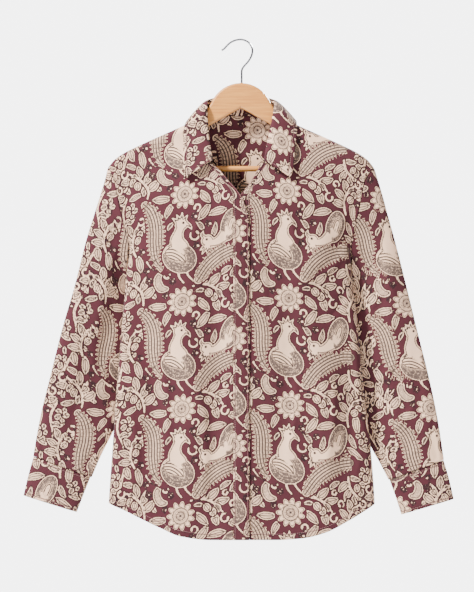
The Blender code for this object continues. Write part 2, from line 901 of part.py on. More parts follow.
def hook_socket(across, down):
    bm = bmesh.new()
    radius = WIRE_RADIUS + SOCKET_CLEAR
    depth = SCREW_DEPTH + SOCKET_CLEAR + SOCKET_OVER
    bmesh.ops.create_cone(bm, segments=12, radius1=radius, radius2=radius, depth=depth,
                          cap_ends=True)
    middle = down + SOCKET_CLEAR - depth / 2
    bmesh.ops.translate(bm, verts=bm.verts, vec=(across, 0, -middle))
    return "hook_socket", bm


def cut_with(item, named_mesh):
    name, bm = named_mesh
    cutter = add_object(name, bm, item.data.materials[0])
    cutter.hide_render = True
    cutter.display_type = "WIRE"
    cut = item.modifiers.new(name, "BOOLEAN")
    cut.operation = "DIFFERENCE"
    cut.object = cutter


def make_bar(material):
    name, bm = rod_mesh("hanger_bar", BAR_RADIUS, BAR_HALF)
    return add_object(name, bm, material)


def make_hook(material):
    """The bent wire hook. Its foot is screwed into the top of the hanger."""
    curve = bpy.data.curves.new("hook", "CURVE")
    curve.dimensions = "3D"
    curve.bevel_depth = WIRE_RADIUS * MM
    curve.bevel_resolution = 2
    curve.use_fill_caps = True
    points = wire_points()
    spline = curve.splines.new("POLY")
    spline.points.add(len(points) - 1)
    for target, (x, down) in zip(spline.points, points):
        target.co = (x * MM, 0, -down * MM, 1)
    curve.materials.append(material)
    item = bpy.data.objects.new("hook", curve)
    bpy.context.scene.collection.objects.link(item)
    return item


def wire_points(steps=3):
    """The wire's route on a smooth curve through the points of HOOK_WIRE."""
    rows = HOOK_WIRE
    points = []
    for index in range(len(rows) - 1):
        before = rows[max(index - 1, 0)]
        start, end = rows[index], rows[index + 1]
        after = rows[min(index + 2, len(rows) - 1)]
        for step in range(steps):
            t = step / steps
            points.append(tuple(
                0.5 * (2 * b + (c - a) * t + (2 * a - 5 * b + 4 * c - d) * t * t
                       + (3 * b - a - 3 * c + d) * t ** 3)
                for a, b, c, d in zip(before, start, end, after)
            ))
    points.append(tuple(rows[-1]))
    return points


def make_button(name, centre, facing, material, thick):
    """A plain round button, lying with its back towards the cloth below it."""
    bm = bmesh.new()
    bmesh.ops.create_cone(bm, segments=16, radius1=BUTTON_RADIUS, radius2=BUTTON_RADIUS,
                          depth=thick, cap_ends=True)
    turn = Vector((0, 0, 1)).rotation_difference(facing).to_matrix()
    bmesh.ops.rotate(bm, verts=bm.verts, matrix=turn)
    bmesh.ops.translate(bm, verts=bm.verts, vec=centre)
    return add_object(name, bm, material)


def make_front_buttons(material):
    """The closing buttons lie on the left strip, hidden under the right one."""
    step = 0.5
    for index in range(FRONT_BUTTONS):
        down = FRONT_BUTTON_FIRST + index * FRONT_BUTTON_PITCH
        seat = front_point(LEFT, 0.0, down)
        slope = front_point(LEFT, 0.0, down + step) - front_point(LEFT, 0.0, down - step)
        facing = slope.cross(Vector((1, 0, 0))).normalized()
        facing = facing if facing.y < 0 else -facing
        centre = seat + facing * (SEAM_GAP + BUTTON_THICK / 2)
        make_button(f"button_front_{index + 1}", centre, facing, material, BUTTON_THICK)


def make_cuff_buttons(material):
    """One button on the back of each cuff, near its inner edge."""
    for side, name in ((RIGHT, "button_cuff_right"), (LEFT, "button_cuff_left")):
        around, along = 0.66, 0.5
        seat = cuff_point(side, along, around)
        step = 0.02
        across = cuff_point(side, along, around + step) - cuff_point(side, along, around - step)
        facing = across.cross(cuff_axis(side)).normalized()
        facing = facing if facing.y > 0 else -facing
        centre = seat + facing * (3 * SEAM_GAP + CUFF_BUTTON_THICK / 2)
        make_button(name, centre, facing, material, CUFF_BUTTON_THICK)


def main():
    for item in list(bpy.data.objects):
        bpy.data.objects.remove(item, do_unlink=True)
    cotton = new_material("printed cotton", (0.33, 0.12, 0.13), 0.85)
    wood = new_material("varnished beech", (0.70, 0.46, 0.24), 0.42)
    steel = new_material("chromed wire", (0.62, 0.62, 0.64), 0.22, 1.0)
    shell = new_material("button resin", (0.62, 0.55, 0.50), 0.4)
    for side in (RIGHT, LEFT):
        make_front(side, cotton)
        make_placket(side, cotton)
        make_sleeve(side, cotton)
        make_cuff(side, cotton)
    make_back(cotton)
    make_stand(cotton)
    make_leaf(cotton)
    make_hanger(wood)
    make_bar(wood)
    make_hook(steel)
    make_front_buttons(shell)
    make_cuff_buttons(shell)


main()
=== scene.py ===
"""Looks for a long-sleeved printed cotton shirt that hangs on its wooden hanger.

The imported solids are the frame. Every cloth solid is stood for by a thin cloth shell of
the same form, with its creases, its block print and its stitching. The hanger, its bar
and the hook keep their solids and get their finishes. Sizes are in millimetres and
heights are given as "down", the distance below the rail. The front faces -Y and the
wearer's right is -X.
"""

import logging
import math
from dataclasses import dataclass, field
from enum import Enum

import bmesh
import bpy
import numpy as np
from mathutils import Matrix, Vector


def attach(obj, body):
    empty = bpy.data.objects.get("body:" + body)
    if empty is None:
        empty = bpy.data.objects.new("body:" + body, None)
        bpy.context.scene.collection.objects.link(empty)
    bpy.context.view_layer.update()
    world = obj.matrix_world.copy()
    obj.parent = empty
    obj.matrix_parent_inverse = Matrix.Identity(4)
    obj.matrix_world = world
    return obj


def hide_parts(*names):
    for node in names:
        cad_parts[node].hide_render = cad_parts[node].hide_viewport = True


MM = 0.001
BODY = "root"
# The cloth's thickness, the shoulders' outer ends, the hem's lowest place and its place out to
# the side from which an edge is first looked up, and how often a piece's top is fitted anew.
CLOTH_THICK = 0.7
SHOULDER_END = 213.0
HEM_LOWEST = 838.0
HEM_SIDE = 200.0
FITTING_ROUNDS = 12
log = logging.getLogger("shirt")
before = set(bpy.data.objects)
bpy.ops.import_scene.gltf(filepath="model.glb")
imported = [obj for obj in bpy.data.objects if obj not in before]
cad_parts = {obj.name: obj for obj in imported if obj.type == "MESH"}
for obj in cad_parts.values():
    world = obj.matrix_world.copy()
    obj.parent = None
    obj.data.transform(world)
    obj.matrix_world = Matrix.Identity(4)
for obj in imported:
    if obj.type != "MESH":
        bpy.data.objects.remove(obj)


class Side(Enum):
    """The wearer's right is at -X, the wearer's left at +X."""

    RIGHT = -1
    LEFT = 1


class Face(Enum):
    """Which half of the hanging shirt a surface belongs to."""

    FRONT = "front"
    BACK = "back"


def ease(share: np.ndarray) -> np.ndarray:
    """Smooth step from 0 to 1."""
    share = np.clip(share, 0.0, 1.0)
    return share * share * (3.0 - 2.0 * share)


def quarter_round(share: np.ndarray) -> np.ndarray:
    """Quarter circle that starts upright at 0 and is level at 1."""
    share = np.clip(share, 0.0, 1.0)
    return np.sqrt(1.0 - (1.0 - share) ** 2)


def mix(low: np.ndarray, high: np.ndarray, share: np.ndarray) -> np.ndarray:
    """Value a share of the way from low to high."""
    return low + (high - low) * share


@dataclass(frozen=True)
class Curve:
    """A smooth curve through rows of (place, value), with no overshoot."""

    rows: tuple

    def at(self, places: np.ndarray) -> np.ndarray:
        """Read the curve.

        Args:
            places: where to read it.

        Returns:
            The value at each place, held level beyond the ends.
        """
        x, y = np.array(self.rows, float).T
        step = np.diff(x)
        rise = np.diff(y) / step
        slope = np.concatenate((rise[:1], rise[:-1], rise[-1:]))
        product = rise[:-1] * rise[1:]
        total = np.where(product > 0.0, rise[:-1] + rise[1:], 1.0)
        slope[1:-1] = np.where(product > 0.0, 2.0 * product / total, 0.0)
        place = np.clip(places, x[0], x[-1])
        row = np.clip(np.searchsorted(x, place, side="right") - 1, 0, len(step) - 1)
        share = (place - x[row]) / step[row]
        left = slope[row] * step[row] * share * (1.0 - share) ** 2
        right = slope[row + 1] * step[row] * share * share * (1.0 - share)
        return y[row] + left + ease(share) * (y[row + 1] - y[row]) - right


@dataclass(frozen=True)
class Band:
    """Two edges of a flat piece, each a Curve of out and of down over the same places."""

    outer_out: Curve
    outer_down: Curve
    inner_out: Curve
    inner_down: Curve


def band(*rows: tuple) -> Band:
    """Make a Band from rows of (along, outer out, outer down, inner out, inner down)."""
    return Band(*(Curve(tuple((row[0], row[column]) for row in rows)) for column in range(1, 5)))


@dataclass(frozen=True)
class Crease:
    """A soft crease from one place to another. A positive height stands out."""

    start_x: float
    start_down: float
    end_x: float
    end_down: float
    half_width: float
    height: float
    bow: float = 0.06
    blunt: float = 0.8

    def at(self, x: np.ndarray, down: np.ndarray) -> np.ndarray:
        """Height of the crease at each place.

        Args:
            x: distance across.
            down: distance below the rail.

        Returns:
            The height in millimetres.
        """
        run_x, run_down = self.end_x - self.start_x, self.end_down - self.start_down
        length = math.hypot(run_x, run_down)
        share = ((x - self.start_x) * run_x + (down - self.start_down) * run_down) / length**2
        aside = ((x - self.start_x) * run_down - (down - self.start_down) * run_x) / length
        bow = self.bow * length * np.sin(math.pi * np.clip(share, 0.0, 1.0))
        across = np.exp(-2.0 * ((aside - bow) / self.half_width) ** 2)
        ends = np.sin(math.pi * np.clip(share, 0.0, 1.0)) ** self.blunt
        return self.height * across * ends


def crease_height(creases: tuple, x: np.ndarray, down: np.ndarray) -> np.ndarray:
    """Sum of all creases at each place."""
    return sum((crease.at(x, down) for crease in creases), np.zeros_like(x))


# The outline as read from the photograph, in millimetres. SIDE_EDGE, FREE_EDGE and SEAM_EDGE
# give the distance out for a distance down, SHOULDER and HEM the distance down for a place
# across, and DEPTH the distance from the hanger's plane for a distance down.
SIDE_EDGE = {
    Side.RIGHT: Curve(((213, 223), (235, 212.5), (276, 204), (318, 193.5), (352, 188),
                       (385, 191.5), (459, 198.5), (537, 205), (616, 211.5), (673, 215),
                       (780, 222.5), (860, 226))),
    Side.LEFT: Curve(((213, 223), (235, 208), (276, 199.5), (318, 191), (352, 184.5),
                      (385, 185.5), (459, 194.5), (537, 201.5), (616, 210), (673, 217),
                      (780, 225), (860, 228))),
}
SHOULDER = Curve(((0, 62), (40, 96), (66, 121), (92, 140.5), (110, 149), (138, 161.5),
                  (170, 176), (198, 190), (212, 200), (223, 213)))
HEM = Curve(((-228, 773), (-222, 777), (-197, 788), (-170, 801), (-134, 818), (-100, 832),
             (-50, 838), (60, 838), (100, 835.5), (140, 826), (180, 806), (207, 790),
             (225, 778.5), (230, 775)))
DEPTH = {
    Face.FRONT: Curve(((100, 22), (205, 28), (300, 33), (420, 31), (600, 25), (838, 20))),
    Face.BACK: Curve(((100, 18), (205, 20), (300, 20), (420, 19), (600, 16), (838, 13))),
}
FREE_EDGE = {
    Side.RIGHT: Curve(((121, 58), (134, 57), (158, 54), (184, 51.5), (206, 48.5), (220, 34),
                       (235, 21.8), (252, 6.7), (266, -2.5), (279, -7), (290, -11),
                       (310, -13.4), (838, -14))),
    Side.LEFT: Curve(((121, 58), (134, 55), (158, 49), (184, 42), (206, 34.5), (223, 24.5),
                      (237, 17), (252, 5.5), (262, -3), (275, -8), (290, -9.8),
                      (838, -9.8))),
}
SEAM_EDGE = {
    Side.RIGHT: Curve(((121, 66.4), (134, 65), (158, 62), (184, 59.5), (206, 57),
                       (220, 42.5), (235, 31), (252, 17.5), (266, 12.6), (279, 12.6),
                       (290, 12.6), (838, 12.6))),
    Side.LEFT: Curve(((121, 66.4), (134, 62.5), (158, 56.5), (184, 50.5), (206, 43.5),
                      (223, 33.5), (237, 26.5), (252, 17), (262, 14.5), (275, 14.5),
                      (290, 14.5), (838, 14.5))),
}
# The outer and the inner edge of each sleeve and cuff, from its top to its end.
SLEEVE = {
    Side.RIGHT: band((0.00, 223, 213, 188, 352), (0.05, 229.5, 237, 187.0, 366),
                     (0.10, 237, 262, 190, 392), (0.16, 246, 290, 184, 420),
                     (0.26, 260, 335, 175, 456), (0.42, 279, 410, 178, 516),
                     (0.58, 301, 486, 186, 574), (0.74, 320, 562, 200, 624),
                     (0.86, 335, 622, 219, 665), (0.93, 342, 657, 236, 699),
                     (1.00, 349, 698, 251, 734)),
    Side.LEFT: band((0.00, 223, 213, 184.5, 352), (0.05, 231, 237, 182.5, 366),
                    (0.10, 238.5, 262, 184, 392), (0.16, 246, 290, 177, 422),
                    (0.26, 258.5, 335, 173, 460), (0.42, 277.5, 410, 177, 524),
                    (0.58, 296, 486, 186, 586), (0.74, 315, 562, 200, 640),
                    (0.86, 328, 622, 219, 684), (0.93, 334.5, 660, 233, 709),
                    (1.00, 341, 704, 248, 738)),
}
CUFF = {
    Side.RIGHT: band((0.0, 348.5, 699, 253, 733.5), (0.5, 357.5, 731, 264.5, 762.5),
                     (1.0, 365.5, 764, 276, 792.5)),
    Side.LEFT: band((0.0, 340.5, 705, 249.5, 737.5), (0.5, 350, 737.5, 260, 767),
                    (1.0, 357.5, 770, 269.5, 796.5)),
}
# The collar's lines from the middle of the back to the point on either side.
COLLAR_TURNS = (0.0, 0.18, 0.36, 0.5, 0.58, 0.7, 0.85, 1.0)
COLLAR = {
    Side.RIGHT: {
        "seam_out": (0, 32, 57, 66, 64.5, 61.5, 58.5, 54),
        "seam_down": (126, 125, 122, 121, 134, 158, 184, 206),
        "roll_out": (0, 30, 51, 57.5, 57.5, 56, 52.5, 48.6),
        "roll_down": (95.5, 96.5, 99.5, 105, 125, 158, 183, 203.5),
        "edge_out": (0, 45, 80, 91.5, 96, 96.5, 96.5, 95.5),
        "edge_down": (141, 140, 138, 135.5, 152, 178, 208, 234),
    },
    Side.LEFT: {
        "seam_out": (0, 32, 57, 66, 62, 56, 50, 43),
        "seam_down": (126, 125, 122, 121, 134, 158, 184, 206),
        "roll_out": (0, 30, 51, 57.5, 55, 49.5, 44, 40),
        "roll_down": (95.5, 96.5, 99.5, 105, 125, 157, 182, 204.5),
        "edge_out": (0, 45, 80, 93.5, 94, 91, 88.5, 84),
        "edge_down": (141, 140, 138, 135, 150.5, 178, 208, 232),
    },
}

# Each crease as its start (x, down), its end (x, down), its half width and its height.
FRONT_CREASES = (
    Crease(-160, 290, -70, 430, 30, 5.0),
    Crease(-118, 400, -95, 850, 34, 6.5),
    Crease(-62, 330, -50, 700, 26, -4.0),
    Crease(155, 290, 75, 440, 30, 5.0),
    Crease(108, 440, 128, 850, 34, 6.5),
    Crease(62, 360, 60, 720, 28, -4.0),
    Crease(172, 420, 165, 760, 26, -4.5),
    Crease(-170, 450, -168, 780, 26, -4.5),
    Crease(-196, 330, -120, 420, 9, 2.2),
    Crease(-200, 362, -140, 470, 8, -2.0),
    Crease(-186, 250, -150, 330, 8, 2.0),
    Crease(-60, 255, -95, 350, 10, 2.4),
    Crease(-30, 300, -42, 430, 8, -1.7),
    Crease(-140, 520, -128, 690, 9, 2.2),
    Crease(-78, 560, -70, 800, 10, 2.0),
    Crease(-192, 600, -180, 760, 10, 2.4),
    Crease(-28, 560, -26, 790, 7, -1.5),
    Crease(194, 330, 130, 400, 9, 2.4),
    Crease(190, 372, 140, 480, 8, -2.0),
    Crease(188, 244, 160, 330, 8, 2.5),
    Crease(176, 228, 168, 300, 6, -1.9),
    Crease(60, 262, 96, 360, 10, 2.2),
    Crease(34, 320, 44, 470, 8, -1.7),
    Crease(150, 540, 140, 720, 10, 2.2),
    Crease(84, 520, 78, 700, 9, 2.0),
    Crease(196, 580, 190, 750, 10, 2.2),
    Crease(30, 600, 34, 800, 7, -1.5),
)
BACK_CREASES = (
    Crease(-40, 200, -55, 850, 36, 5.0),
    Crease(70, 240, 90, 850, 36, 6.0),
    Crease(-130, 330, -120, 820, 30, -3.5),
    Crease(150, 360, 140, 800, 28, -3.5),
    Crease(-190, 330, -110, 430, 10, 2.2),
    Crease(190, 340, 120, 450, 10, 2.4),
    Crease(-90, 480, -84, 760, 10, 2.0),
    Crease(20, 300, 12, 620, 11, -2.0),
    Crease(120, 520, 116, 780, 10, 2.0),
    Crease(-170, 560, -160, 760, 9, -1.9),
)
SLEEVE_CREASES = (
    Crease(-225, 300, -258, 520, 17, 4.0),
    Crease(-262, 470, -300, 690, 16, -3.0),
    Crease(-215, 420, -262, 600, 15, -2.5),
    Crease(228, 310, 250, 520, 17, 4.0),
    Crease(270, 420, 296, 660, 16, -3.0),
    Crease(222, 500, 262, 690, 15, 2.5),
    Crease(-206, 330, -232, 400, 7, 2.0),
    Crease(-240, 400, -205, 450, 7, 1.9),
    Crease(-270, 520, -225, 575, 8, 2.0),
    Crease(-296, 600, -250, 640, 7, 2.0),
    Crease(-318, 650, -275, 700, 7, 1.9),
    Crease(-330, 600, -318, 690, 6, -1.5),
    Crease(208, 320, 236, 392, 7, 2.2),
    Crease(246, 410, 206, 460, 7, 1.9),
    Crease(268, 520, 222, 580, 8, 2.0),
    Crease(300, 600, 246, 660, 8, 2.2),
    Crease(316, 660, 268, 706, 7, 1.7),
    Crease(322, 610, 312, 690, 6, -1.5),
)


@dataclass(frozen=True)
class ShirtForm:
    """The form of the hanging shirt, that of its solids with deeper small creases."""

    underarm_down: float = 352.0
    armhole_top: float = SHOULDER_END
    lip: float = 11.0
    shoulder_fall: float = 110.0
    side_fall: float = 150.0
    armhole_fall: float = 30.0
    armhole_close: float = 32.0
    calm_edge: float = 33.0
    seam_gap: float = 0.3
    sleeve_half: float = 14.0
    sleeve_half_low: float = 10.5
    sleeve_round: float = 0.8
    sleeve_tuck: float = 23.0
    sleeve_clear: float = 2.4
    sleeve_join: float = 0.3
    gather_height: float = 0.9
    gather_count: float = 11.0
    cuff_half: float = 9.5
    cuff_tuck: float = 4.6
    lap_height: float = 3.4
    lap_from: float = -50.0
    lap_over: float = 36.0
    lap_drop: float = 1.3
    lap_drop_from: float = 5.4
    lap_drop_over: float = 8.0
    collar_lift: float = 3.9
    collar_roll: float = 7.0
    collar_start: float = 2.6
    collar_open: float = 1.06
    collar_settle: float = 0.08

    def half_depth(self, face: Face, side: Side, x: np.ndarray, down: np.ndarray) -> np.ndarray:
        """Distance of the cloth from the plane of the hanger.

        Args:
            face: the front or the back of the shirt.
            side: the wearer's side that the places are on.
            x: distance across.
            down: distance below the rail.

        Returns:
            The distance, in front for the front and behind for the back.
        """
        out = np.abs(x)
        below = down - SHOULDER.at(out)
        inside = SIDE_EDGE[side].at(down) - out
        crown = np.sin(0.5 * math.pi * np.clip(inside / self.side_fall, 0.0, 1.0)) ** 0.8
        body = (DEPTH[face].at(down) - self.lip) * ease(below / self.shoulder_fall) * crown
        lip = self.lip * quarter_round(below / self.lip)
        closed = lip * quarter_round(inside / self.lip) + body
        share = np.clip((down - self.armhole_top) / (self.underarm_down - self.armhole_top), 0, 1)
        ring = self.sleeve_half * (2.0 * np.sqrt(share * (1.0 - share))) ** self.sleeve_round
        edge = np.maximum(ring, 0.5 * lip)
        opened = mix(edge, lip + body, ease(inside / self.armhole_fall))
        shut = ease((down - self.underarm_down + self.armhole_close) / self.armhole_close)
        creases = FRONT_CREASES if face is Face.FRONT else BACK_CREASES
        calm = ease(inside / self.calm_edge) * ease(below / self.calm_edge)
        return mix(opened, closed, shut) + calm * crease_height(creases, x, down)

    def lap_rise(self, x: np.ndarray) -> np.ndarray:
        """How far the lapping right front stands over the left one."""
        rise = self.lap_height * ease((x - self.lap_from) / self.lap_over)
        return rise - self.lap_drop * ease((x - self.lap_drop_from) / self.lap_drop_over)

    def front(self, side: Side, x: np.ndarray, down: np.ndarray) -> np.ndarray:
        """Places on the outside of a front.

        Args:
            side: which front.
            x: distance across.
            down: distance below the rail.

        Returns:
            An array of points, one row for each place.
        """
        depth = self.seam_gap / 2 + self.half_depth(Face.FRONT, side, x, down)
        if side is Side.RIGHT:
            depth = depth + self.lap_rise(x)
        return np.stack((x, -depth, -down), axis=-1)

    def back(self, x: np.ndarray, down: np.ndarray) -> np.ndarray:
        """Places on the outside of the back.

        Args:
            x: distance across.
            down: distance below the rail.

        Returns:
            An array of points, one row for each place.
        """
        right = self.half_depth(Face.BACK, Side.RIGHT, x, down)
        left = self.half_depth(Face.BACK, Side.LEFT, x, down)
        depth = self.seam_gap / 2 + np.where(x < 0.0, right, left)
        return np.stack((x, depth, -down), axis=-1)

    def sleeve(self, side: Side, along: np.ndarray, turn: np.ndarray) -> np.ndarray:
        """Places on the outside of a sleeve.

        Args:
            side: which sleeve.
            along: 0 at the armhole and 1 at the cuff's seam.
            turn: 0 at the outer edge, 0.25 in front, 0.5 at the inner edge.

        Returns:
            An array of points, one row for each place.
        """
        table = SLEEVE[side]
        angle = 2.0 * math.pi * turn
        share = (1.0 - np.cos(angle)) / 2.0
        out = mix(table.outer_out.at(along), table.inner_out.at(along), share)
        down = mix(table.outer_down.at(along), table.inner_down.at(along), share)
        first, last = table.outer_out.rows[0][1], table.inner_out.rows[0][1]
        armhole_down = mix(table.outer_down.rows[0][1], table.inner_down.rows[0][1], share)
        straight = mix(first, last, share)
        joined = 1.0 - ease(along / self.sleeve_join)
        out = out + (SIDE_EDGE[side].at(armhole_down) - straight) * joined
        half = mix(self.sleeve_half, self.sleeve_half_low, ease(along))
        facing = np.sign(np.sin(angle)) * np.abs(np.sin(angle)) ** self.sleeve_round
        fade = 1.0 - 0.8 * ease((along - 0.62) / 0.38)
        middle = self.sleeve_tuck * ease(along / 0.25) * fade * ease(share)
        inside = SIDE_EDGE[side].at(down) - out
        under = side.value * np.minimum(out, SIDE_EDGE[side].at(down) - 1.0)
        cover = self.half_depth(Face.BACK, side, under, down) + self.sleeve_clear
        pushed = cover * ease((inside + 1.0) / 4.0) + half * np.abs(facing)
        cleared = mix(middle, np.maximum(middle, pushed), ease(along / 0.05))
        middle = np.where(inside > -1.0, cleared, middle)
        calm = ease(along / 0.15) * ease((1.0 - along) / 0.1) * np.abs(facing)
        fold = crease_height(SLEEVE_CREASES, side.value * out, down) * calm
        # Small gathers where the sleeve goes into the cuff, unevenly spaced.
        gather = self.gather_height * ease((along - 0.9) / 0.06) * ease((1.0 - along) / 0.012)
        spaced = angle * self.gather_count + 3.0 * np.sin(angle * 2.0)
        fold = fold + gather * np.sin(spaced) * np.abs(facing)
        y = middle - half * facing - np.where(facing > 0.0, fold, -0.6 * fold)
        return np.stack((side.value * out, y, -down), axis=-1)

    def cuff(self, side: Side, along: np.ndarray, turn: np.ndarray) -> np.ndarray:
        """Places on the outside of a cuff.

        Args:
            side: which cuff.
            along: 0 at the sleeve and 1 at the hand.
            turn: 0 at the outer edge, 0.25 in front, 0.5 at the inner edge.

        Returns:
            An array of points, one row for each place.
        """
        table = CUFF[side]
        angle = 2.0 * math.pi * turn
        share = (1.0 - np.cos(angle)) / 2.0
        out = mix(table.outer_out.at(along), table.inner_out.at(along), share)
        down = mix(table.outer_down.at(along), table.inner_down.at(along), share)
        facing = np.sign(np.sin(angle)) * np.abs(np.sin(angle)) ** self.sleeve_round
        y = self.cuff_tuck * ease(share) - self.cuff_half * facing
        return np.stack((side.value * out, y, -down), axis=-1)

    def collar(self, turn: np.ndarray) -> tuple:
        """The collar's lines, from the wearer's right front point to the left one.

        Args:
            turn: -1 at the right front end, 0 at the middle of the back, 1 at the left.

        Returns:
            Arrays of points on the neck seam, on the roll and on the leaf's edge.
        """
        at = np.abs(turn)
        lines = {}
        for name in COLLAR[Side.RIGHT]:
            right, left = (
                Curve(tuple(zip(COLLAR_TURNS, COLLAR[side][name]))).at(at)
                for side in (Side.RIGHT, Side.LEFT)
            )
            lines[name] = np.where(turn < 0.0, right, left)
        sign = np.where(turn < 0.0, -1.0, 1.0)
        way = np.where(at > 0.5, -1.0, 1.0)
        lift = self.collar_lift * np.minimum(1.0, np.abs(at - 0.5) / self.collar_settle)
        seam_depth = self._depth_at(at, sign, lines["seam_out"], lines["seam_down"])
        edge_under = lines["edge_down"] + self.collar_lift
        edge_depth = self._depth_at(at, sign, lines["edge_out"], edge_under) + lift
        seam = np.stack((sign * lines["seam_out"], way * seam_depth, -lines["seam_down"]), -1)
        roll = np.stack((sign * lines["roll_out"], way * seam_depth * self.collar_open,
                         -lines["roll_down"]), -1)
        edge = np.stack((sign * lines["edge_out"], way * edge_depth, -lines["edge_down"]), -1)
        return seam, roll, edge

    def _depth_at(self, at: np.ndarray, sign: np.ndarray, out: np.ndarray,
                  down: np.ndarray) -> np.ndarray:
        """Half depth under the collar, on the back and front and on either side.

        Args:
            at: above 0.5 in front, below it at the back.
            sign: -1 on the wearer's right, 1 on the left.
            out: distance from the middle.
            down: distance below the rail.

        Returns:
            The half depth at each place.
        """
        depths = {
            (face, side): self.half_depth(face, side, sign * out, down)
            for face in Face for side in Side
        }
        front = np.where(sign < 0, depths[Face.FRONT, Side.RIGHT], depths[Face.FRONT, Side.LEFT])
        back = np.where(sign < 0, depths[Face.BACK, Side.RIGHT], depths[Face.BACK, Side.LEFT])
        return np.where(at > 0.5, front, back)

    def leaf(self, turn: np.ndarray, share: np.ndarray) -> np.ndarray:
        """Places on the outside of the collar's leaf.

        Args:
            turn: as for collar.
            share: 0 at the roll over the stand and 1 at the outer edge.

        Returns:
            An array of points, one row for each place.
        """
        seam, roll, edge = self.collar(turn)
        before = self.collar(np.maximum(turn - 0.01, -1.0))[1]
        after = self.collar(np.minimum(turn + 0.01, 1.0))[1]
        rise = unit(roll - seam)
        out = unit(np.cross(rise, after - before))
        start = roll + rise * self.collar_start
        over = start + out * self.collar_roll
        lean = edge + (start - edge) * 0.45 + out * 0.6 * self.collar_roll
        s = share[:, None]
        left = 1.0 - s
        return (start * left**3 + over * 3 * left * left * s + lean * 3 * left * s * s
                + edge * s**3)


def unit(rows: np.ndarray) -> np.ndarray:
    """Each row scaled to length 1."""
    return rows / np.maximum(np.linalg.norm(rows, axis=-1, keepdims=True), 1e-9)


FORM = ShirtForm()


